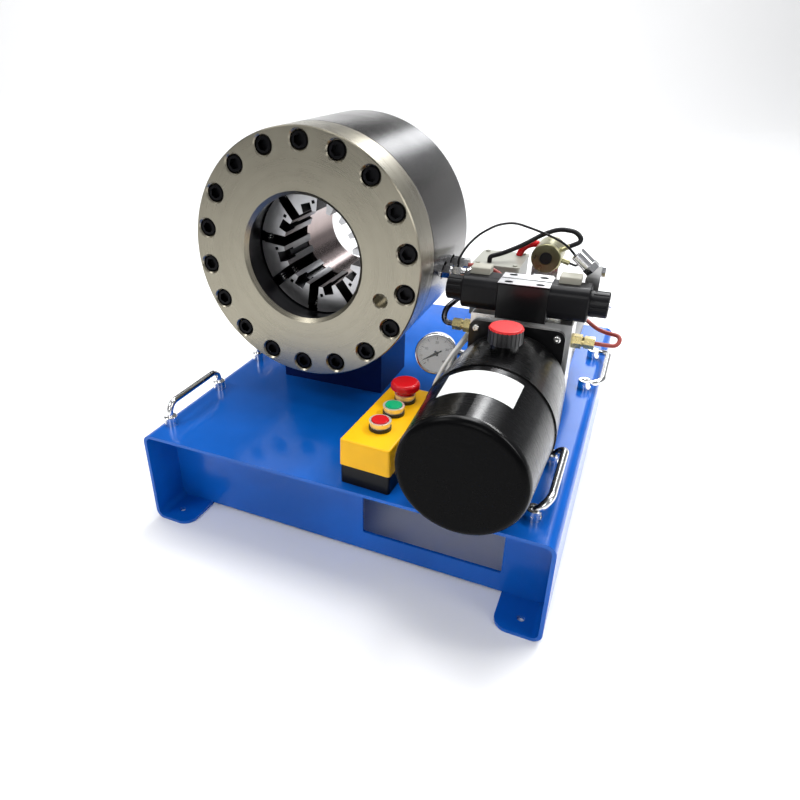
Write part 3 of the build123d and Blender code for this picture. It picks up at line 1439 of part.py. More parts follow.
# Emergency stop: a wide mushroom head on a stepped stem.
with BuildPart() as estop_button:
    estop_bottom = button_top - button_rise + estop_rise
    with BuildSketch(box_plane.offset(estop_bottom)):
        with Locations((button_x, button_estop_y)):
            Circle(estop_radius)
    extrude(amount=estop_cap_height)
    fillet(estop_button.faces().sort_by(Axis.Z)[-1].edges(), estop_edge)
    chamfer(estop_button.faces().sort_by(Axis.Z)[0].edges(), estop_under_edge)
    with BuildSketch(box_plane.offset(estop_bottom)):
        with Locations((button_x, button_estop_y)):
            Circle(button_radius)
    extrude(amount=-(estop_rise + button_height - button_rise))
    with BuildSketch(box_plane.offset(button_top - button_height)):
        with Locations((button_x, button_estop_y)):
            Circle(button_stem_radius)
    extrude(amount=-button_stem_length)
estop_button.part.label = "estop_button"
export_step(estop_button.part, "parts/estop_button.step")

# ================================================================ pipes and cables
box_rear = box_plane.from_local_coords((box_width - cable_inset, box_length - box_base_inset, 0))
terminal_front_y = terminal_box_y - terminal_box_depth / 2
terminal_lid_z = terminal_box_top + terminal_lid
stud_reach = contactor_radius + contactor_stud_length


def off_stud(angle, distance):
    """Point beyond a contactor stud's end, along its axis."""
    turn = radians(angle)
    radius = stud_reach + distance
    return (contactor_x + radius * cos(turn), contactor_stud_y, contactor_z + radius * sin(turn))


white_high_route = [
    (84, box_rear.Y + pipe_start, base_height + 16),
    (84.6, -151, base_height + 17),
    (85, -146, base_height + 41),
    (87, -150, base_height + 67),
    (96, -148, base_height + 92),
    (108, -137, base_height + 117),
    (117, -120, base_height + 132),
    (117, -84, base_height + 133),
    (117, -52, base_height + 134),
    (121, -34, base_height + 151),
    (121, terminal_front_y, base_height + 151),
]
white_low_route = [
    (92, box_rear.Y + pipe_start, base_height + 13),
    (92.6, -151, base_height + 14),
    (94, -142, base_height + 35),
    (96, -138, base_height + 59),
    (101, -133, base_height + 83),
    (105, -124, base_height + 105),
    (114, -108, base_height + 121),
    (117, -80, base_height + 122),
    (118, -52, base_height + 124),
    (131, -32, base_height + 143),
    (131, terminal_front_y, base_height + 143),
]
motor_cable_route = [
    (118, 6, terminal_lid_z),
    (118, 6, base_height + 220),
    (134, 14, base_height + 224),
    (158, 28, base_height + 234),
    (186, 48, base_height + 250),
    (208, 54, base_height + 258),
    (232, 48, base_height + 257),
    off_stud(stud_high_angle, stud_high_lead),
    off_stud(stud_high_angle, 0),
]
thin_lead_route = [
    (88, port_y_advance, port_z + fitting_hex / 2),
    (88, port_y_advance, base_height + 231),
    (94, -44, base_height + 246),
    (106, -24, base_height + 260),
    (127, -4, base_height + 271),
    (148, 13, base_height + 272),
    (172, 26, base_height + 262),
    (198, 36, base_height + 251),
    (221, 35, base_height + 241),
    (238, 36, base_height + 224),
    off_stud(stud_low_angle, stud_low_lead),
    off_stud(stud_low_angle, 0),
]

for name, routes, tube_size in (
    ("pipe_left", (pipe_left_route,), pipe_left_radius),
    ("pipe_right", (pipe_right_route,), pipe_right_radius),
    ("cable_white", (white_high_route, white_low_route), white_cable_radius),
    ("cable_motor", (motor_cable_route,), motor_cable_radius),
    ("cable_lead", (thin_lead_route,), lead_radius),
):
    with BuildPart() as tube:
        for route in routes:
            with BuildLine() as centre_line:
                FilletPolyline(*route, radius=bend_radii(route))
            path = centre_line.wires()[0]
            with BuildSketch(Plane(origin=path @ 0, z_dir=path % 0)):
                Circle(tube_size)
            sweep(path=path)
            radii = [round(value, 1) for value in bend_radii(route)]
            print(name, "length", round(path.length, 1), "bend radii", radii)
    section = pi * tube_size**2
    drawn = sum(solid.volume for solid in tube.solids())
    print(name, "solids", len(tube.solids()), "volume over section", round(drawn / section, 1))
    tube.part.label = name
    export_step(tube.part, f"parts/{name}.step")
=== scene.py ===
# %% [markdown]
# Hose crimping machine. A thick steel ring holds eight jaws that close on a hose fitting, and a
# small oil pump with its tank, valve and push buttons stands beside it on a blue folded base.
# The rigid solids come ready made as the frame. This script gives every surface its finish and
# adds the small things that are easier as surfaces: the dial's marks, the return springs, one
# red boot, and a white patch on the tank's crown that is a painted highlight.

# %% Open the frame
import json
import math

import bmesh
import bpy
import numpy as np
from mathutils import Matrix, Vector


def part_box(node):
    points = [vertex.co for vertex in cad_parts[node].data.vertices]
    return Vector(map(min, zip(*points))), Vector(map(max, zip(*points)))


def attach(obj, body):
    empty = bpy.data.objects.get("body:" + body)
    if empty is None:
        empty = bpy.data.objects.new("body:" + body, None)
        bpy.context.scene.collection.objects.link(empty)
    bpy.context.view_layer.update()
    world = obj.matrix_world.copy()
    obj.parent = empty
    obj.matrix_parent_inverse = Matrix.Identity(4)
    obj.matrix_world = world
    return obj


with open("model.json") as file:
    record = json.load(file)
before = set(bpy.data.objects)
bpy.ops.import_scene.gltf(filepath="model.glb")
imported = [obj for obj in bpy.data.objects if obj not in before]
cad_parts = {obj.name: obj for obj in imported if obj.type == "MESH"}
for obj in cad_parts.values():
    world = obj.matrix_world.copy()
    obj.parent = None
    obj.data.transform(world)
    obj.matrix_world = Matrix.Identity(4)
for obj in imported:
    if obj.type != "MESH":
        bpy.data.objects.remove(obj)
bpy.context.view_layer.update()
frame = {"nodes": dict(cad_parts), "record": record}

# %% [markdown]
# The camera comes first, so that everything after it can be judged in one view. It stands in
# front of the machine, a little above it and to its right, and is rolled by less than two degrees.
# Its three axes are written out as columns, which is plainer than three angles in a row.

# %% The camera
camera_data = bpy.data.cameras.new("studio_camera")
camera_data.lens = 28.65
camera_data.shift_x = 0.0866
camera_data.shift_y = -0.0181
camera_data.clip_start = 0.05
camera = bpy.data.objects.new("studio_camera", camera_data)
bpy.context.scene.collection.objects.link(camera)
right = Vector((0.89776, 0.43965, -0.02718)).normalized()
look = Vector((-0.40069, 0.78947, -0.46496)).normalized()
up = right.cross(look).normalized()
look = up.cross(right).normalized()
turn = Matrix((right, up, -look)).transposed().to_4x4()
camera.matrix_world = Matrix.Translation((0.3234, -0.9438, 0.6565)) @ turn
bpy.context.scene.camera = camera
print("camera looks along", tuple(round(v, 3) for v in look))

# %% [markdown]
# Shader maths is easier to read as sums than as boxes and wires. A Wire stands for a value on its
# way through a material. Adding or multiplying wires adds the Math nodes, and Paint.node makes
# every other node from its type, its settings and what goes into its sockets.

# %% Wires and paints
class Wire:
    """A value on its way through a material. Arithmetic on it adds Math nodes."""

    def __init__(self, paint, socket):
        self.paint = paint
        self.socket = socket

    def _maths(self, operation, first, second):
        return self.paint.node("ShaderNodeMath", {"operation": operation}, {0: first, 1: second})

    def __add__(self, other):
        return self._maths("ADD", self, other)

    __radd__ = __add__

    def __sub__(self, other):
        return self._maths("SUBTRACT", self, other)

    def __rsub__(self, other):
        return self._maths("SUBTRACT", other, self)

    def __mul__(self, other):
        return self._maths("MULTIPLY", self, other)

    __rmul__ = __mul__

    def __gt__(self, other):
        return self._maths("GREATER_THAN", self, other)

    def __lt__(self, other):
        return self._maths("LESS_THAN", self, other)


class Paint:
    """One material: a Principled shader, and short ways to feed it."""

    def __init__(self, name, colour, rough, metallic=0.0, coat=0.0, **constants):
        self.material = bpy.data.materials.new(name)
        self.material.use_nodes = True
        self.tree = self.material.node_tree
        self.shader = self.tree.nodes["Principled BSDF"]
        self.shader.inputs["Base Color"].default_value = (*colour, 1)
        self.shader.inputs["Roughness"].default_value = rough
        self.shader.inputs["Metallic"].default_value = metallic
        self.shader.inputs["Coat Weight"].default_value = coat
        for socket, value in constants.items():
            self.shader.inputs[socket.replace("_", " ")].default_value = value
        self.coords = self.node("ShaderNodeTexCoord", {}, {}, "Object")

    def node(self, kind, settings, values, output=0):
        """Make a node, set it up, then fill its sockets with numbers or wires."""
        made = self.tree.nodes.new(kind)
        for name, value in settings.items():
            if name == "stops":
                ramp = made.color_ramp
                while len(ramp.elements) < len(value):
                    ramp.elements.new(0.5)
                for element, (place, grey) in zip(ramp.elements, value):
                    element.position = place
                    element.color = (grey, grey, grey, 1)
            else:
                setattr(made, name, value)
        for name, value in values.items():
            if isinstance(value, Wire):
                self.tree.links.new(value.socket, made.inputs[name])
            else:
                made.inputs[name].default_value = value
        return Wire(self, made.outputs[output])

    def placed(self, centre=(0, 0, 0), turn=(0, 0, 0), scale=(1, 1, 1)):
        """Object coordinates measured from centre, turned, then stretched."""
        moved = self.node(
            "ShaderNodeMapping",
            {"vector_type": "TEXTURE"},
            {"Vector": self.coords, "Location": centre, "Rotation": turn},
        )
        return self.node("ShaderNodeMapping", {}, {"Vector": moved, "Scale": scale})

    def noise(self, size, detail=3.0, where=None, rough=0.5):
        """Cloudy noise whose lumps are about size metres across."""
        where = where or self.coords
        values = {"Vector": where, "Scale": 1 / size, "Detail": detail, "Roughness": rough}
        return self.node("ShaderNodeTexNoise", {}, values)

    def ramp(self, wire, stops):
        """Bend a value through grey stops, each a place and a grey."""
        return self.node("ShaderNodeValToRGB", {"stops": stops}, {"Fac": wire})

    def parts(self, where):
        """The three coordinates of a place, as separate wires."""
        made = self.tree.nodes.new("ShaderNodeSeparateXYZ")
        self.tree.links.new(where.socket, made.inputs[0])
        return [Wire(self, output) for output in made.outputs]

    def mixed(self, mask, below, above):
        """Colour below where the mask is 0, above where it is 1."""
        made = self.tree.nodes.new("ShaderNodeMix")
        made.data_type = "RGBA"
        self.tree.links.new(mask.socket, made.inputs[0])
        for socket, value in ((made.inputs[6], below), (made.inputs[7], above)):
            if isinstance(value, Wire):
                self.tree.links.new(value.socket, socket)
            else:
                socket.default_value = (*value, 1)
        return Wire(self, made.outputs[2])

    def feed(self, socket, wire):
        """Lead a wire into one socket of the shader."""
        self.tree.links.new(wire.socket, self.shader.inputs[socket])

    def bump(self, height, depth, strength=1.0):
        """Raise the surface by height times depth metres."""
        values = {"Height": height, "Distance": depth, "Strength": strength}
        self.feed("Normal", self.node("ShaderNodeBump", {}, values))


def shade(colour, factor):
    """A colour made lighter or darker."""
    return tuple(min(1.0, part * factor) for part in colour)


# %% [markdown]
# The machine shows four families of finish: stove enamel, machined steel, plated metal and
# moulded plastic, which rubber shares with a rougher skin. A family is a function or two, so its
# parts differ only in colour and grain. Most finishes have something at three sizes: broad clouds
# that change the colour, a finer change of gloss, and a grain that only the bump shows.

# %% Enamel and plastic
def enamel(name, colour, rough=0.22, coat=0.6):
    """Sprayed paint: a slight orange peel, dust in broad clouds, and a clear gloss on top."""
    paint = Paint(name, colour, rough, 0.0, coat, Coat_Roughness=0.1, Specular_IOR_Level=0.2)
    clouds = paint.noise(0.16, 4)
    peel = paint.noise(0.0035, 2)
    specks = paint.ramp(paint.noise(0.0016, 1), [(0.70, 0.0), (0.74, 1.0)])
    body = paint.mixed(paint.ramp(clouds, [(0.35, 0), (0.7, 1)]), shade(colour, 0.82), shade(colour, 1.14))
    paint.feed("Base Color", paint.mixed(specks * 0.25, body, shade(colour, 1.8)))
    paint.feed("Roughness", clouds * 0.16 + (rough - 0.08))
    paint.bump(peel, 0.00022, 0.35)
    return paint


def moulded(name, colour, rough=0.4, grain=0.0009):
    """Moulded plastic: a fine spark-eroded grain, and handling marks that change the gloss."""
    paint = Paint(name, colour, rough, 0.0, 0.04, Specular_IOR_Level=0.25)
    handling = paint.noise(0.03, 5)
    paint.feed("Roughness", handling * 0.25 + (rough - 0.12))
    paint.feed("Base Color", paint.mixed(handling, shade(colour, 0.88), shade(colour, 1.12)))
    paint.bump(paint.noise(grain, 2), 0.00012, 0.4)
    return paint


# %% [markdown]
# Machined steel is the face of this machine. A lathe leaves fine rings round the axis, and a
# grinder leaves straight scratches, and both spread a highlight sideways. Rings are made from
# noise that reads the distance from the axis and the place along it, but not the way round, so
# each ring is even all the way round and none looks like the next one.

# %% Steel
HEAD_AXIS = (-0.110, 0.0, 0.395)


def radius_of(paint, centre=HEAD_AXIS):
    """Distance sqrt(x^2 + z^2) from an axis along Y through centre, and the place along it."""
    x, y, z = paint.parts(paint.placed(centre))
    return paint.node("ShaderNodeMath", {"operation": "SQRT"}, {0: x * x + z * z}), y


def turned(name, colour, rough=0.26, pitch=0.0009, depth=0.00006):
    """Lathe-turned steel: rings about the head's axis, and faint stains between them."""
    paint = Paint(name, colour, rough, 1.0)
    radius, along = radius_of(paint)
    place = paint.node("ShaderNodeCombineXYZ", {}, {0: radius, 1: along, 2: 0.0})
    rings = paint.noise(pitch, 2, place)
    bands = paint.noise(0.012, 3, place)
    stains = paint.noise(0.05, 5)
    tone = bands * 0.5 + stains * 0.5
    paint.feed("Base Color", paint.mixed(tone, shade(colour, 0.74), shade(colour, 1.18)))
    paint.feed("Roughness", rings * 0.16 + stains * 0.12 + (rough - 0.12))
    paint.bump(rings, depth, 0.5)
    return paint


def ground(name, colour, rough=0.3, turn=(0, 0, 0)):
    """Ground or drawn steel: long scratches one way, short ones across, and dull patches."""
    paint = Paint(name, colour, rough, 1.0)
    scratches = paint.noise(0.0011, 3, paint.placed((0, 0, 0), turn, (1, 0.04, 1)))
    patches = paint.noise(0.02, 4)
    paint.feed("Base Color", paint.mixed(patches, shade(colour, 0.72), shade(colour, 1.15)))
    paint.feed("Roughness", scratches * 0.18 + patches * 0.16 + (rough - 0.15))
    paint.bump(scratches, 0.00005, 0.5)
    return paint


def plated(name, colour, rough=0.1):
    """Chrome, zinc or brass: a smooth skin with faint ripples and fingermarks."""
    paint = Paint(name, colour, rough, 1.0)
    ripples = paint.noise(0.006, 3)
    marks = paint.ramp(paint.noise(0.012, 6, rough=0.7), [(0.45, 0), (0.7, 1)])
    paint.feed("Base Color", paint.mixed(marks, colour, shade(colour, 0.78)))
    paint.feed("Roughness", marks * 0.14 + ripples * 0.06 + rough)
    paint.bump(ripples, 0.00012, 0.25)
    return paint


# %% [markdown]
# Some steel pieces are bright where a tool has cut their front faces, and near black in their bores,
# recesses and flanks, which is painted shade. Instead of two materials and a painted edge between
# them, one material has a mask made from places: the distance from the head's axis and the distance
# behind the piece's front face.

# %% Steel with painted shade in its bores and recesses
FLANGE_FACE_Y = -0.172
FLANGE_MOUTH_DEPTH = 0.0056
FLANGE_BORE_RADIUS = 0.1012
JAW_FACE_Y = -0.1197
JAW_FACE_DEPTH = 0.0004
JAW_STEP_DEPTHS = (0.0028, 0.0034)
JAW_STEP_RADII = (0.092, 0.0975)
JAW_INNER_RADIUS = 0.0578
COVER_SKIN = 0.0006


def painted_shade_inside(paint, mask, dark=(0.018, 0.018, 0.02), rough=0.34):
    """Where the mask is 0 the surface is near black, a painted shade, instead of the finish made so far."""
    bright = paint.shader.inputs["Base Color"].links[0].from_socket
    gloss = paint.shader.inputs["Roughness"].links[0].from_socket
    # Painted shade: the near-black colour stands for shade in bores, recesses and flanks.
    paint.feed("Base Color", paint.mixed(mask, dark, Wire(paint, bright)))
    paint.feed("Roughness", Wire(paint, gloss) * mask + (1 - mask) * rough)
    return paint


def flange_steel():
    """The flange: turned face and rim, painted shade in the bore and recess behind the rounded mouth."""
    paint = turned("ring_steel", (0.33, 0.305, 0.24), 0.27)
    radius, along = radius_of(paint, (HEAD_AXIS[0], FLANGE_FACE_Y, HEAD_AXIS[2]))
    mouth = along < FLANGE_MOUTH_DEPTH
    return painted_shade_inside(paint, 1 - (1 - mouth) * (radius < FLANGE_BORE_RADIUS))


def cover_finish():
    """The valve's cover plate: ground bright on top, painted shade in the screw slots and the groove."""
    paint = ground("cover_aluminium", (0.80, 0.80, 0.81), 0.3, (0, 0, 1.5708))
    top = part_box("valve_cover")[1].z
    height = paint.parts(paint.coords)[2]
    return painted_shade_inside(paint, height > top - COVER_SKIN, (0.01, 0.01, 0.01))


def jaw_finish():
    """A jaw: ground on its front steps, painted shade on its flanks, ramp, notch and bores."""
    paint = ground("jaw_steel", (0.62, 0.62, 0.63), 0.34)
    radius, along = radius_of(paint, (HEAD_AXIS[0], JAW_FACE_Y, HEAD_AXIS[2]))
    in_step = (along > JAW_STEP_DEPTHS[0]) * (along < JAW_STEP_DEPTHS[1])
    in_ring = (radius > JAW_STEP_RADII[0]) * (radius < JAW_STEP_RADII[1])
    front = (along < JAW_FACE_DEPTH) + in_step * in_ring
    inner = (radius < JAW_INNER_RADIUS) * 0.25
    return painted_shade_inside(paint, front + (1 - front) * inner)


# %% [markdown]
# Each finish of the machine is one line: its family, its colour and how rough it is. Colours are
# linear, so a value that looks small here is not as dark on the screen. The black plastics get
# less mirror than plain plastic has, because a worn matt skin hardly shines.

# %% The machine's own finishes
BLUE = (0.002, 0.098, 0.46)
BLACK = (0.0018, 0.0018, 0.002)
finishes = {
    "base_blue": enamel("base_blue", BLUE, 0.2, 0.3),
    "pedestal_blue": enamel("pedestal_blue", (0.0015, 0.008, 0.07), 0.25, 0.2),
    "plate_black": enamel("plate_black", (0.004, 0.004, 0.0045), 0.3, 0.2),
    "box_grey": enamel("box_grey", (0.30, 0.30, 0.26), 0.35, 0.2),
    "ring_steel": flange_steel(),
    "barrel_steel": turned("barrel_steel", (0.075, 0.07, 0.066), 0.18, pitch=0.0012),
    "bore_steel": turned("bore_steel", (0.30, 0.24, 0.23), 0.16, pitch=0.0007),
    "cone_steel": turned("cone_steel", (0.10, 0.10, 0.10), 0.38),
    "jaw_steel": jaw_finish(),
    "rotor_steel": ground("rotor_steel", (0.40, 0.40, 0.40), 0.34),
    "rod_zinc": plated("rod_zinc", (0.80, 0.80, 0.80), 0.14),
    "bolt_black": ground("bolt_black", (0.012, 0.012, 0.013), 0.3),
    "pan_head": plated("pan_head", (0.74, 0.74, 0.72), 0.2),
    "block_aluminium": ground("block_aluminium", (0.74, 0.74, 0.73), 0.3, (0, 0, 1.2)),
    "cover_aluminium": cover_finish(),
    "olive_zinc": plated("olive_zinc", (0.31, 0.30, 0.19), 0.32),
    "brass": plated("brass", (0.60, 0.50, 0.24), 0.24),
    "chrome": plated("chrome", (0.82, 0.82, 0.83), 0.08),
    "tube_black": plated("tube_black", (0.10, 0.10, 0.11), 0.2),
    "tube_copper": moulded("tube_copper", (0.30, 0.055, 0.045), 0.3),
    "plastic_black": moulded("plastic_black", (0.004, 0.004, 0.005), 0.36),
    "plastic_grey": moulded("plastic_grey", (0.33, 0.32, 0.27), 0.45),
    "box_yellow": moulded("box_yellow", (0.82, 0.43, 0.002), 0.34, 0.0014),
    "button_red": moulded("button_red", (0.50, 0.006, 0.010), 0.26),
    "button_green": moulded("button_green", (0.0, 0.30, 0.12), 0.28),
    "stop_red": moulded("stop_red", (0.52, 0.006, 0.010), 0.24),
    "cable_white": moulded("cable_white", (0.80, 0.80, 0.77), 0.4),
    "cable_black": moulded("cable_black", (0.004, 0.004, 0.005), 0.36),
    "seal_rubber": moulded("seal_rubber", (0.02, 0.02, 0.02), 0.6),
    "dial_white": moulded("dial_white", (0.92, 0.93, 0.92), 0.5),
    "needle_black": moulded("needle_black", (0.01, 0.01, 0.01), 0.4),
}
for name, gloss in {"plastic_black": 0.15, "bolt_black": 0.3, "cable_black": 0.2}.items():
    finishes[name].shader.inputs["Specular IOR Level"].default_value = gloss
print("finishes", len(finishes))

# %% [markdown]
# The filler cap is black with a red top. A mask made from the height alone does it: 0 below the
# joint and 1 above it.

# %% The two-coloured cap
CAP_RED_DEPTH = 0.0028


def two_coloured(name, height, below, above, rough):
    """Plastic that changes colour at one height."""
    paint = Paint(name, below, rough)
    wear = paint.noise(0.01, 4)
    paint.feed("Base Color", paint.mixed(paint.parts(paint.coords)[2] > height, below, above))
    paint.feed("Roughness", wear * 0.2 + (rough - 0.08))
    paint.bump(paint.noise(0.0012, 2), 0.0001, 0.35)
    return paint


cap_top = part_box("filler_cap")[1].z
finishes["cap_plastic"] = two_coloured(
    "cap_plastic", cap_top - CAP_RED_DEPTH, (0.012, 0.012, 0.013), (0.6, 0.012, 0.014), 0.34
)
print("cap turns red at", round(cap_top - CAP_RED_DEPTH, 4))

# %% [markdown]
# The tank is a drawn drum. Its flat end takes no polish and stays matt, while its side is brushed
# round and catches a soft streak of light. The clear coat is therefore fed by a mask along the
# drum's axis, and the noise for the gloss is stretched so that its streaks run round.

# %% The drum
DRUM_END_DEPTH = 0.004
tank_low, tank_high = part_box("oil_tank")
plate_low, plate_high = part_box("tank_flange_plate")
unit_x = (tank_low.x + tank_high.x) / 2
unit_z = (plate_low.z + plate_high.z) / 2


def drum_finish():
    """Black drum: its flat end is matt, its side is glossier, brushed round and lightly scuffed."""
    paint = enamel("tank_black", BLACK, 0.3, 0.1)
    paint.shader.inputs["Specular IOR Level"].default_value = 0.05
    side = paint.parts(paint.coords)[1] > tank_low.y + DRUM_END_DEPTH
    paint.feed("Coat Weight", side * 0.45)
    rounds = paint.noise(0.0016, 3, paint.placed((0, 0, 0), (0, 0, 0), (0.05, 1, 0.05)))
    scuffs = paint.noise(0.025, 5)
    paint.feed("Roughness", rounds * 0.14 + scuffs * 0.12 + 0.14)
    paint.shader.inputs["Coat Roughness"].default_value = 0.22
    return paint


finishes["tank_black"] = drum_finish()
print("drum axis at", round(unit_x, 4), round(unit_z, 4))

# %% [markdown]
# A bezel is a bright metal ring on a black rubber gasket, which are one solid here. The same kind
# of height mask drives colour and metal together, so the gasket is rubber in both.

# %% The bezels
GASKET_HEIGHT = 0.0045
box_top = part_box("control_box_cover")[1].z
bezel = Paint("bezel", (0.8, 0.78, 0.72), 0.12)
above_gasket = bezel.parts(bezel.coords)[2] > box_top + GASKET_HEIGHT
bezel.feed("Base Color", bezel.mixed(above_gasket, (0.014, 0.014, 0.014), (0.90, 0.86, 0.78)))
bezel.feed("Metallic", above_gasket * 0.75)
bezel.feed("Roughness", bezel.noise(0.01, 4) * 0.1 + above_gasket * -0.14 + 0.38)
finishes["bezel"] = bezel
print("bezels are metal above", round(box_top + GASKET_HEIGHT, 4))

# %% [markdown]
# The contactor is a plated can with a black disc in the middle of its end. The disc is found
# by distance from the can's axis, and only near the end, so the side stays metal.

# %% The contactor
CAN_END = (0.197, 0.02, 0.376)
BLACK_DISC_RADIUS = 0.0086
BLACK_DISC_DEPTH = 0.007
black_disc_face = Paint("contactor_face", (0.36, 0.34, 0.18), 0.3, 1.0)
from_can_axis, along_can_axis = radius_of(black_disc_face, CAN_END)
is_black_disc = (from_can_axis < BLACK_DISC_RADIUS) * (along_can_axis < BLACK_DISC_DEPTH)
can_marks = black_disc_face.noise(0.012, 5)
can_metal = black_disc_face.mixed(can_marks, (0.30, 0.28, 0.13), (0.46, 0.44, 0.28))
black_disc_face.feed("Base Color", black_disc_face.mixed(is_black_disc, can_metal, (0.008, 0.008, 0.008)))
black_disc_face.feed("Metallic", 1 - is_black_disc)
black_disc_face.feed("Roughness", can_marks * 0.2 + 0.2)
black_disc_face.bump(black_disc_face.noise(0.004, 3), 0.0001, 0.3)
finishes["contactor_face"] = black_disc_face
print("plug radius", BLACK_DISC_RADIUS)

# %% [markdown]
# The gauge's window is nearly clear. A low alpha lets the dial through and keeps the gloss, which
# renders faster than true glass and survives an export.

# %% The gauge's window
glass = Paint("clear_glass", (0.9, 0.95, 0.95), 0.03, 0.0, 0.0, Alpha=0.10)
glass.feed("Roughness", glass.noise(0.02, 3) * 0.03 + 0.01)
finishes["clear_glass"] = glass
print("finishes", len(finishes))

# %% [markdown]
# The table below says which finish each solid wears. A solid has at least one material slot, and
# all of its slots get the same material, so nothing keeps a flat colour.

# %% Give each node its finish
wears = {
    "base_frame": "base_blue", "front_panel": "base_blue", "head_pedestal": "pedestal_blue",
    "handle_posts": "rod_zinc", "handle_front_left": "rod_zinc", "handle_rear_left": "rod_zinc",
    "handle_front_right": "rod_zinc", "handle_rear_right": "rod_zinc", "head_flange": "ring_steel",
    "flange_bolts": "bolt_black", "head_body": "barrel_steel", "rear_sleeve": "bore_steel",
    "piston_cone": "cone_steel", "piston_seals": "seal_rubber", "oil_tank": "tank_black",
    "filler_cap": "cap_plastic", "tank_flange_plate": "plate_black", "flange_plate_screws": "pan_head",
    "manifold_block": "block_aluminium", "manifold_bracket": "plate_black", "gear_pump": "block_aluminium",
    "motor_body": "plate_black", "motor_rotor": "rotor_steel", "motor_terminal_box": "box_grey",
    "contactor_bracket": "pan_head", "contactor": "contactor_face", "valve_body": "plate_black",
    "valve_cover": "cover_aluminium", "solenoid_left": "plastic_black", "solenoid_right": "plastic_black",
    "coil_nuts": "plastic_black", "override_pin_left": "chrome", "override_pin_right": "chrome",
    "coil_plugs": "plastic_grey", "pressure_switch": "chrome", "brass_fittings": "brass",
    "steel_fittings": "chrome", "pipe_left": "tube_black", "pipe_right": "tube_copper",
    "gauge_case": "chrome", "gauge_dial": "dial_white", "gauge_needle": "needle_black",
    "gauge_glass": "clear_glass", "control_box_base": "plastic_black", "control_box_cover": "box_yellow",
    "button_bezels": "bezel", "button_red": "button_red", "button_green": "button_green",
    "estop_button": "stop_red", "cable_white": "cable_white", "cable_motor": "cable_black",
    "cable_lead": "cable_black",
}
wears.update({f"die_jaw_{number}": "jaw_steel" for number in range(1, 9)})
for name, node in frame["nodes"].items():
    for place in node.material_slots:
        place.material = finishes[wears[name]].material
print("dressed", len(frame["nodes"]), "nodes; without a finish:", set(frame["nodes"]) - set(wears))

# %% [markdown]
# New surfaces are grids of points. A shape is a function of two numbers, u across and v along,
# worked out for the whole grid at once, and the faces join each point to its neighbours. Each new
# piece then gets its finish, the material slot it counts as and the body that it moves with.

# %% A sheet of points
def grid_mesh(name, points, closed_u=False, closed_v=False):
    """Mesh from an array of points, rows by columns: face (i, j) joins its four neighbours."""
    rows, columns = points.shape[:2]
    across_u = np.arange(rows if closed_u else rows - 1)
    along_v = np.arange(columns if closed_v else columns - 1)
    i, j = np.meshgrid(across_u, along_v, indexing="ij")
    after_i, after_j = (i + 1) % rows, (j + 1) % columns
    faces = np.stack(
        [i * columns + j, after_i * columns + j, after_i * columns + after_j, i * columns + after_j], axis=-1
    )
    mesh = bpy.data.meshes.new(name)
    mesh.from_pydata(points.reshape(-1, 3).tolist(), [], faces.reshape(-1, 4).tolist())
    mesh.validate()
    mesh.polygons.foreach_set("use_smooth", np.ones(len(mesh.polygons), dtype=bool))
    made = bpy.data.objects.new(name, mesh)
    bpy.context.scene.collection.objects.link(made)
    return made


def keep_outward(made):
    """Merge doubles and turn every face outwards."""
    work = bmesh.new()
    work.from_mesh(made.data)
    bmesh.ops.remove_doubles(work, verts=work.verts, dist=1e-7)
    bmesh.ops.recalc_face_normals(work, faces=work.faces)
    work.to_mesh(made.data)
    work.free()


def close_ends(made):
    """Fill the open ends of a tube or a shell, then turn every face outwards."""
    work = bmesh.new()
    work.from_mesh(made.data)
    bmesh.ops.holes_fill(work, edges=work.edges, sides=0)
    work.to_mesh(made.data)
    work.free()
    keep_outward(made)


def dress(made, paint, body="machine"):
    """Finish, material slot and body of a new piece."""
    made.data.materials.clear()
    made.data.materials.append(finishes[paint].material)
    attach(made, body)
    return made


# %% [markdown]
# A white patch on the tank's crown is a painted highlight, where the tank catches the light. It
# is a thin shell that follows the tank's round, a tenth of a millimetre clear of the paint. Its
# white is slightly cloudy and not glossy.

# %% The painted highlight on the tank
HIGHLIGHT_PATCH_FRONT = 0.057
HIGHLIGHT_PATCH_BACK = 0.1115
HIGHLIGHT_PATCH_ANGLES = (-36, 30)
HIGHLIGHT_PATCH_RADII = (0.07874, 0.08079)
HIGHLIGHT_PATCH_THICK = 0.00025


def highlight_patch_shell(front_y, back_y, start, end, front_radius, back_radius, thick, rows=60, columns=24):
    """Point (u, v): angle u from start to end round the tank's axis, v along it, on a cone."""
    angles = np.radians(np.linspace(start, end, rows))
    along = np.linspace(0, 1, columns)
    radius = front_radius + (back_radius - front_radius) * along
    layers = []
    for lift in (0.0, thick):
        x = unit_x + np.outer(np.sin(angles), radius + lift)
        z = unit_z + np.outer(np.cos(angles), radius + lift)
        y = np.broadcast_to(front_y + (back_y - front_y) * along, x.shape)
        layers.append(np.stack([x, y, z], axis=-1))
    inner, outer = layers
    return np.concatenate([outer, inner[:, ::-1]], axis=1)


highlight_patch_points = highlight_patch_shell(
    tank_low.y + HIGHLIGHT_PATCH_FRONT, tank_low.y + HIGHLIGHT_PATCH_BACK, *HIGHLIGHT_PATCH_ANGLES, *HIGHLIGHT_PATCH_RADII, HIGHLIGHT_PATCH_THICK
)
highlight_patch = grid_mesh("tank_painted_highlight", highlight_patch_points, closed_v=True)
close_ends(highlight_patch)
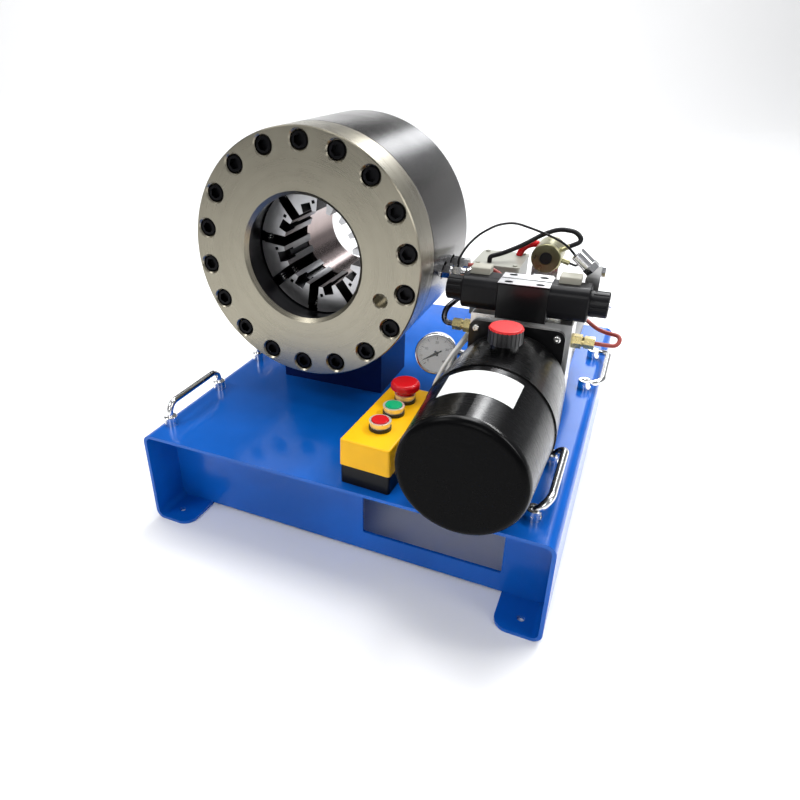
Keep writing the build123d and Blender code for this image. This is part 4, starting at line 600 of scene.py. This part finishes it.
# Painted highlight: this white stands for light falling on the tank's crown.
highlight_paint = Paint("painted_highlight_white", (0.82, 0.83, 0.82), 0.42, 0.0, 0.1)
highlight_clouds = highlight_paint.noise(0.02, 4)
highlight_paint.feed("Base Color", highlight_paint.mixed(highlight_clouds, (0.74, 0.75, 0.74), (0.88, 0.89, 0.88)))
highlight_paint.feed("Roughness", highlight_clouds * 0.2 + 0.34)
highlight_paint.bump(highlight_paint.noise(0.0012, 2), 0.00006, 0.4)
finishes["painted_highlight_white"] = highlight_paint
dress(highlight_patch, "painted_highlight_white")
print("label faces", len(highlight_patch.data.polygons))

# %% [markdown]
# The dial's marks are thin raised bars round the face, long ones every fifth. The gauge doesn't
# face any axis squarely, so its plane is read from the joint of the needle.

# %% The dial's marks
DIAL_BEHIND_PIVOT = 0.0065
DIAL_START = 225
DIAL_SWEEP = 270
MARK_STEPS = 40
MARK_LIFTS = (0.00002, 0.00017)
MARK_OUTER = 0.0252
LONG_MARK = (0.0205, 0.0007)
SHORT_MARK = (0.0225, 0.0003)
needle = next(j for j in frame["record"]["behaviour"]["joints"] if j["name"] == "needle_turn")
out = Vector(needle["axis"]).normalized()
level = Vector((-out.y, out.x, 0)).normalized()
if level.x < 0:
    level = -level
upright = out.cross(level).normalized()
hub = Vector(needle["pos_m"]) + out * -DIAL_BEHIND_PIVOT


def on_dial(radius, degrees_up, lift):
    """A point on the dial: radius and angle from level, and how far it stands off the face."""
    turned_by = math.radians(degrees_up)
    flat = level * (radius * math.cos(turned_by)) + upright * (radius * math.sin(turned_by))
    return hub + flat + out * lift


def dial_bar(inner, outer, angle, width):
    """A flat bar from one radius to another at an angle, 0.15 mm thick."""
    along = (on_dial(outer, angle, 0) - on_dial(inner, angle, 0)).normalized()
    side = out.cross(along) * (width / 2)
    corners = []
    for lift in MARK_LIFTS:
        for radius, sign in ((inner, -1), (inner, 1), (outer, 1), (outer, -1)):
            corners.append(on_dial(radius, angle, lift) + side * sign)
    return corners


marks = []
for step in range(MARK_STEPS + 1):
    inner_radius, width = SHORT_MARK if step % 5 else LONG_MARK
    marks.append(dial_bar(inner_radius, MARK_OUTER, DIAL_START - step * DIAL_SWEEP / MARK_STEPS, width))
points = np.array([[tuple(c) for c in bar] for bar in marks]).reshape(-1, 3)
box_faces = np.array([[0, 3, 2, 1], [4, 5, 6, 7], [0, 1, 5, 4], [1, 2, 6, 5], [2, 3, 7, 6], [3, 0, 4, 7]])
faces = (box_faces[None] + 8 * np.arange(len(marks))[:, None, None]).reshape(-1, 4)
mark_mesh = bpy.data.meshes.new("dial_marks")
mark_mesh.from_pydata(points.tolist(), [], faces.tolist())
dial_marks = bpy.data.objects.new("dial_marks", mark_mesh)
bpy.context.scene.collection.objects.link(dial_marks)
keep_outward(dial_marks)
dress(dial_marks, "needle_black")
print("dial marks", len(marks))

# %% [markdown]
# The numbers 0 to 40 are text curves. Text is turned into a mesh first and moved afterwards, so
# that the finished object sits at the origin, unturned.

# %% The dial's numbers
DIGIT_RADIUS = 0.0165
DIGIT_SIZE = 0.0052
DIGIT_DEPTH = 0.00006
DIGIT_LIFT = 0.0001
on_face = Matrix((level, upright, out)).transposed().to_4x4()
digits = []
for number in range(5):
    angle = DIAL_START - number * DIAL_SWEEP / 4
    writing = bpy.data.curves.new(f"digit_{number}", "FONT")
    writing.body = str(number * 10)
    writing.size = DIGIT_SIZE
    writing.align_x = "CENTER"
    writing.align_y = "CENTER"
    writing.extrude = DIGIT_DEPTH
    thing = bpy.data.objects.new(f"digit_{number}", writing)
    bpy.context.scene.collection.objects.link(thing)
    place = Matrix.Translation(on_dial(DIGIT_RADIUS, angle, DIGIT_LIFT)) @ on_face
    shape = bpy.data.meshes.new_from_object(thing)
    shape.transform(place)
    bpy.data.objects.remove(thing)
    digit = bpy.data.objects.new(f"dial_digit_{number}", shape)
    bpy.context.scene.collection.objects.link(digit)
    digits.append(dress(digit, "needle_black"))
print("digits", len(digits))

# %% [markdown]
# Between neighbouring jaws sit two compression springs that push them apart when the piston
# draws back. Each coil is a tube whose centre line is a helix, and it rides with one jaw. The
# helix is short enough to stay inside its two bores while the jaws close.

# %% Return springs
JAW_COUNT = 8
FIRST_JAW_ANGLE = 14.5
SPRING_RADIUS_FROM_AXIS = 0.0953
SPRING_PLACES = {"a": -0.0947, "b": -0.0567}
SPRING_START = 0.0252
SPRING_LENGTH = 0.0325
COIL_RADIUS = 0.0042
COIL_WIRE = 0.0007
COIL_TURNS = 8


def coil(start, along, length, radius, wire, turns, steps=20, sides=8):
    """Point (u, v): v goes along a helix of the given radius, u round the wire's circle."""
    along = np.array(along) / np.linalg.norm(along)
    side = np.cross(along, (0, 1, 0))
    side = side / np.linalg.norm(side)
    other = np.cross(along, side)
    t = np.linspace(0, 1, turns * steps)
    angle = 2 * np.pi * turns * t
    circle = np.outer(np.cos(angle), side) + np.outer(np.sin(angle), other)
    centre = np.array(start) + np.outer(t * length, along) + radius * circle
    round_wire = np.linspace(0, 2 * np.pi, sides, endpoint=False)
    return (
        centre[None]
        + wire * np.cos(round_wire)[:, None, None] * circle[None]
        + wire * np.sin(round_wire)[:, None, None] * along[None, None]
    )


springs = []
for number in range(JAW_COUNT):
    flank = math.radians(FIRST_JAW_ANGLE + 360 / JAW_COUNT * number) - math.pi / JAW_COUNT
    normal = np.array([math.cos(flank - math.pi / 2), 0, math.sin(flank - math.pi / 2)])
    outward = np.array([math.cos(flank), 0, math.sin(flank)])
    middle = np.array(HEAD_AXIS) + SPRING_RADIUS_FROM_AXIS * outward
    for row, depth in SPRING_PLACES.items():
        start = middle + np.array([0, depth, 0]) - normal * SPRING_START
        points = coil(start, normal, SPRING_LENGTH, COIL_RADIUS, COIL_WIRE, COIL_TURNS)
        spring = grid_mesh(f"spring_{number + 1}_{row}", points, closed_u=True)
        close_ends(spring)
        springs.append(dress(spring, "pan_head", f"die_jaw_{number + 1}_body"))
print("springs", len(springs))

# %% [markdown]
# A short red boot covers the terminal between the contactor and the terminal box. It is a bent
# round tube: a curve through three control points gives its middle line, and a circle is drawn
# square to that line at each step. Both ends are sunk a little into what they join.

# %% The red terminal boot
BOOT_RADIUS = 0.005
BOOT_IN_FROM_REAR = 0.012
BOOT_START_BELOW_TOP = 0.0105
BOOT_BEND_BELOW_TOP = 0.0115
BOOT_BEND_IN_FROM_SIDE = 0.010
BOOT_END_IN_FROM_SIDE = 0.014
BOOT_SUNK_IN_CAN = 0.004
BOOT_SUNK_IN_BOX = 0.002


def bent_tube(first, bend, last, radius, steps=24, sides=24):
    """Middle line P(t) = (1-t)^2 first + 2t(1-t) bend + t^2 last, with a circle round it."""
    t = np.linspace(0, 1, steps)[:, None]
    first, bend, last = np.array(first), np.array(bend), np.array(last)
    middle = (1 - t) ** 2 * first + 2 * t * (1 - t) * bend + t**2 * last
    heading = 2 * (1 - t) * (bend - first) + 2 * t * (last - bend)
    heading = heading / np.linalg.norm(heading, axis=1, keepdims=True)
    side = np.array([0.0, 1.0, 0.0])
    up = np.cross(heading, side)
    turn = np.linspace(0, 2 * np.pi, sides, endpoint=False)[:, None, None]
    return middle[None] + radius * (np.cos(turn) * side + np.sin(turn) * up[None])


can_low, can_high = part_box("contactor")
terminal_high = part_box("motor_terminal_box")[1]
boot_y = can_high.y - BOOT_IN_FROM_REAR
boot_points = bent_tube(
    (can_low.x + BOOT_SUNK_IN_CAN, boot_y, can_high.z - BOOT_START_BELOW_TOP),
    (terminal_high.x - BOOT_BEND_IN_FROM_SIDE, boot_y, can_high.z - BOOT_BEND_BELOW_TOP),
    (terminal_high.x - BOOT_END_IN_FROM_SIDE, boot_y, terminal_high.z - BOOT_SUNK_IN_BOX),
    BOOT_RADIUS,
)
boot = grid_mesh("terminal_boot", boot_points, closed_u=True)
close_ends(boot)
dress(boot, "stop_red")
print("boot faces", len(boot.data.polygons))

# %% [markdown]
# The studio is a plain pale floor that curves up into a low wall far behind the machine. The
# curve leaves no corner line, and the wall stands square to the camera's look.

# %% The floor and its curve
def cove(half_width, front_y, turn_y, radius, top_z, turn):
    """Point (u, v): u across, v along a floor, a quarter circle of the radius, and a wall.
    The whole is turned about the vertical: x' = x cos t - y sin t, y' = x sin t + y cos t."""
    flat = np.stack([np.linspace(front_y, turn_y, 12), np.zeros(12)], axis=1)
    angle = np.linspace(0, np.pi / 2, 24)[1:]
    curve = np.stack([turn_y + radius * np.sin(angle), radius * (1 - np.cos(angle))], axis=1)
    wall = np.stack([np.full(6, turn_y + radius), np.linspace(radius, top_z, 7)[1:]], axis=1)
    profile = np.concatenate([flat, curve, wall])
    across = np.linspace(-half_width, half_width, 9)
    x = np.broadcast_to(across[:, None], (len(across), len(profile)))
    y = np.broadcast_to(profile[:, 0], x.shape)
    z = np.broadcast_to(profile[:, 1], x.shape)
    turned_x = x * np.cos(turn) - y * np.sin(turn)
    turned_y = x * np.sin(turn) + y * np.cos(turn)
    return np.stack([turned_x, turned_y, z], axis=-1)


floor_points = cove(half_width=10, front_y=-6, turn_y=4.2, radius=1.2, top_z=2.2, turn=math.radians(27))
floor = grid_mesh("floor", floor_points)
floor_paint = Paint("floor_white", (0.9, 0.9, 0.9), 0.6)
floor_paint.feed("Roughness", floor_paint.noise(0.3, 3) * 0.1 + 0.55)
floor.data.materials.append(floor_paint.material)
print("floor faces", len(floor.data.polygons))

# %% [markdown]
# Bright steel shows whatever stands round it, so the sky behind the machine is not one grey: it
# has wide dark and light bands, as a room's walls and windows would, and the steel takes its
# contrast from them. The bands depend on how far a direction points to the left or right, and
# the sky in front of the machine is one even grey.

# %% The sky
TONES = [
    (0.25, 0.3), (0.30, 0.08), (0.45, 0.1), (0.48, 9), (0.53, 9),
    (0.55, 1.3), (0.63, 1.0), (0.66, 0.04), (0.8, 0.6),
]
EVEN_GREY = (0.55, 0.56, 0.58, 1)
world = bpy.data.worlds.new("studio")
world.use_nodes = True
sky = world.node_tree
direction = sky.nodes.new("ShaderNodeTexCoord")
across = sky.nodes.new("ShaderNodeSeparateXYZ")
place = sky.nodes.new("ShaderNodeMath")
place.operation = "MULTIPLY_ADD"
place.inputs[1].default_value = 0.5
place.inputs[2].default_value = 0.5
bands = sky.nodes.new("ShaderNodeValToRGB")
while len(bands.color_ramp.elements) < len(TONES):
    bands.color_ramp.elements.new(0.5)
for element, (position, tone) in zip(bands.color_ramp.elements, TONES):
    element.position = position
    element.color = (tone * 0.97, tone, tone * 1.04, 1)
behind = sky.nodes.new("ShaderNodeMath")
behind.operation = "GREATER_THAN"
behind.inputs[1].default_value = 0.0
both = sky.nodes.new("ShaderNodeMix")
both.data_type = "RGBA"
both.inputs[6].default_value = EVEN_GREY
sky.links.new(direction.outputs["Generated"], across.inputs[0])
sky.links.new(across.outputs[0], place.inputs[0])
sky.links.new(place.outputs[0], bands.inputs["Fac"])
sky.links.new(across.outputs[1], behind.inputs[0])
sky.links.new(behind.outputs[0], both.inputs[0])
sky.links.new(bands.outputs["Color"], both.inputs[7])
sky.links.new(both.outputs[2], sky.nodes["Background"].inputs["Color"])
sky.nodes["Background"].inputs["Strength"].default_value = 0.5
bpy.context.scene.world = world
print("sky tones", len(TONES))

# %% [markdown]
# Soft boxes light the machine: a key from the front left, a weak front one for the gauge and the
# buttons, a fill from the right, a narrow strip and a box overhead for the tops, and a small one
# behind. The strongest only whitens the wall. Each is a rectangle, and a larger one is softer.

# %% The lamps
def lamp(name, place, target, width, height, power):
    """A rectangular soft box at place, pointed at target."""
    light = bpy.data.lights.new(name, "AREA")
    light.shape = "RECTANGLE"
    light.size = width
    light.size_y = height
    light.energy = power
    made = bpy.data.objects.new(name, light)
    bpy.context.scene.collection.objects.link(made)
    aim = (Vector(target) - Vector(place)).to_track_quat("-Z", "Y").to_matrix().to_4x4()
    made.matrix_world = Matrix.Translation(place) @ aim
    return made


lamp("key", (-1.5, -1.6, 2.2), (0, 0, 0.3), 0.9, 0.9, 25)
lamp("front", (0.2, -2.2, 1.2), (0.05, 0, 0.25), 0.8, 0.8, 10)
lamp("fill", (1.9, -0.8, 1.4), (0, 0, 0.25), 0.5, 1.2, 9)
lamp("strip", (0.9, 0.6, 1.7), (0.05, 0, 0.35), 1.2, 0.2, 22)
lamp("overhead", (0.0, 0.0, 2.4), (0, 0, 0.2), 0.9, 0.9, 16)
lamp("rear", (0.15, 1.7, 2.0), (0.15, -0.2, 0.3), 0.35, 0.5, 14)
lamp("backdrop", (-1.0, 1.9, 5.0), (-2.4, 4.7, 1.0), 7.0, 2.0, 300)
bpy.context.scene.view_settings.view_transform = "Standard"
bpy.context.scene.view_settings.look = "None"
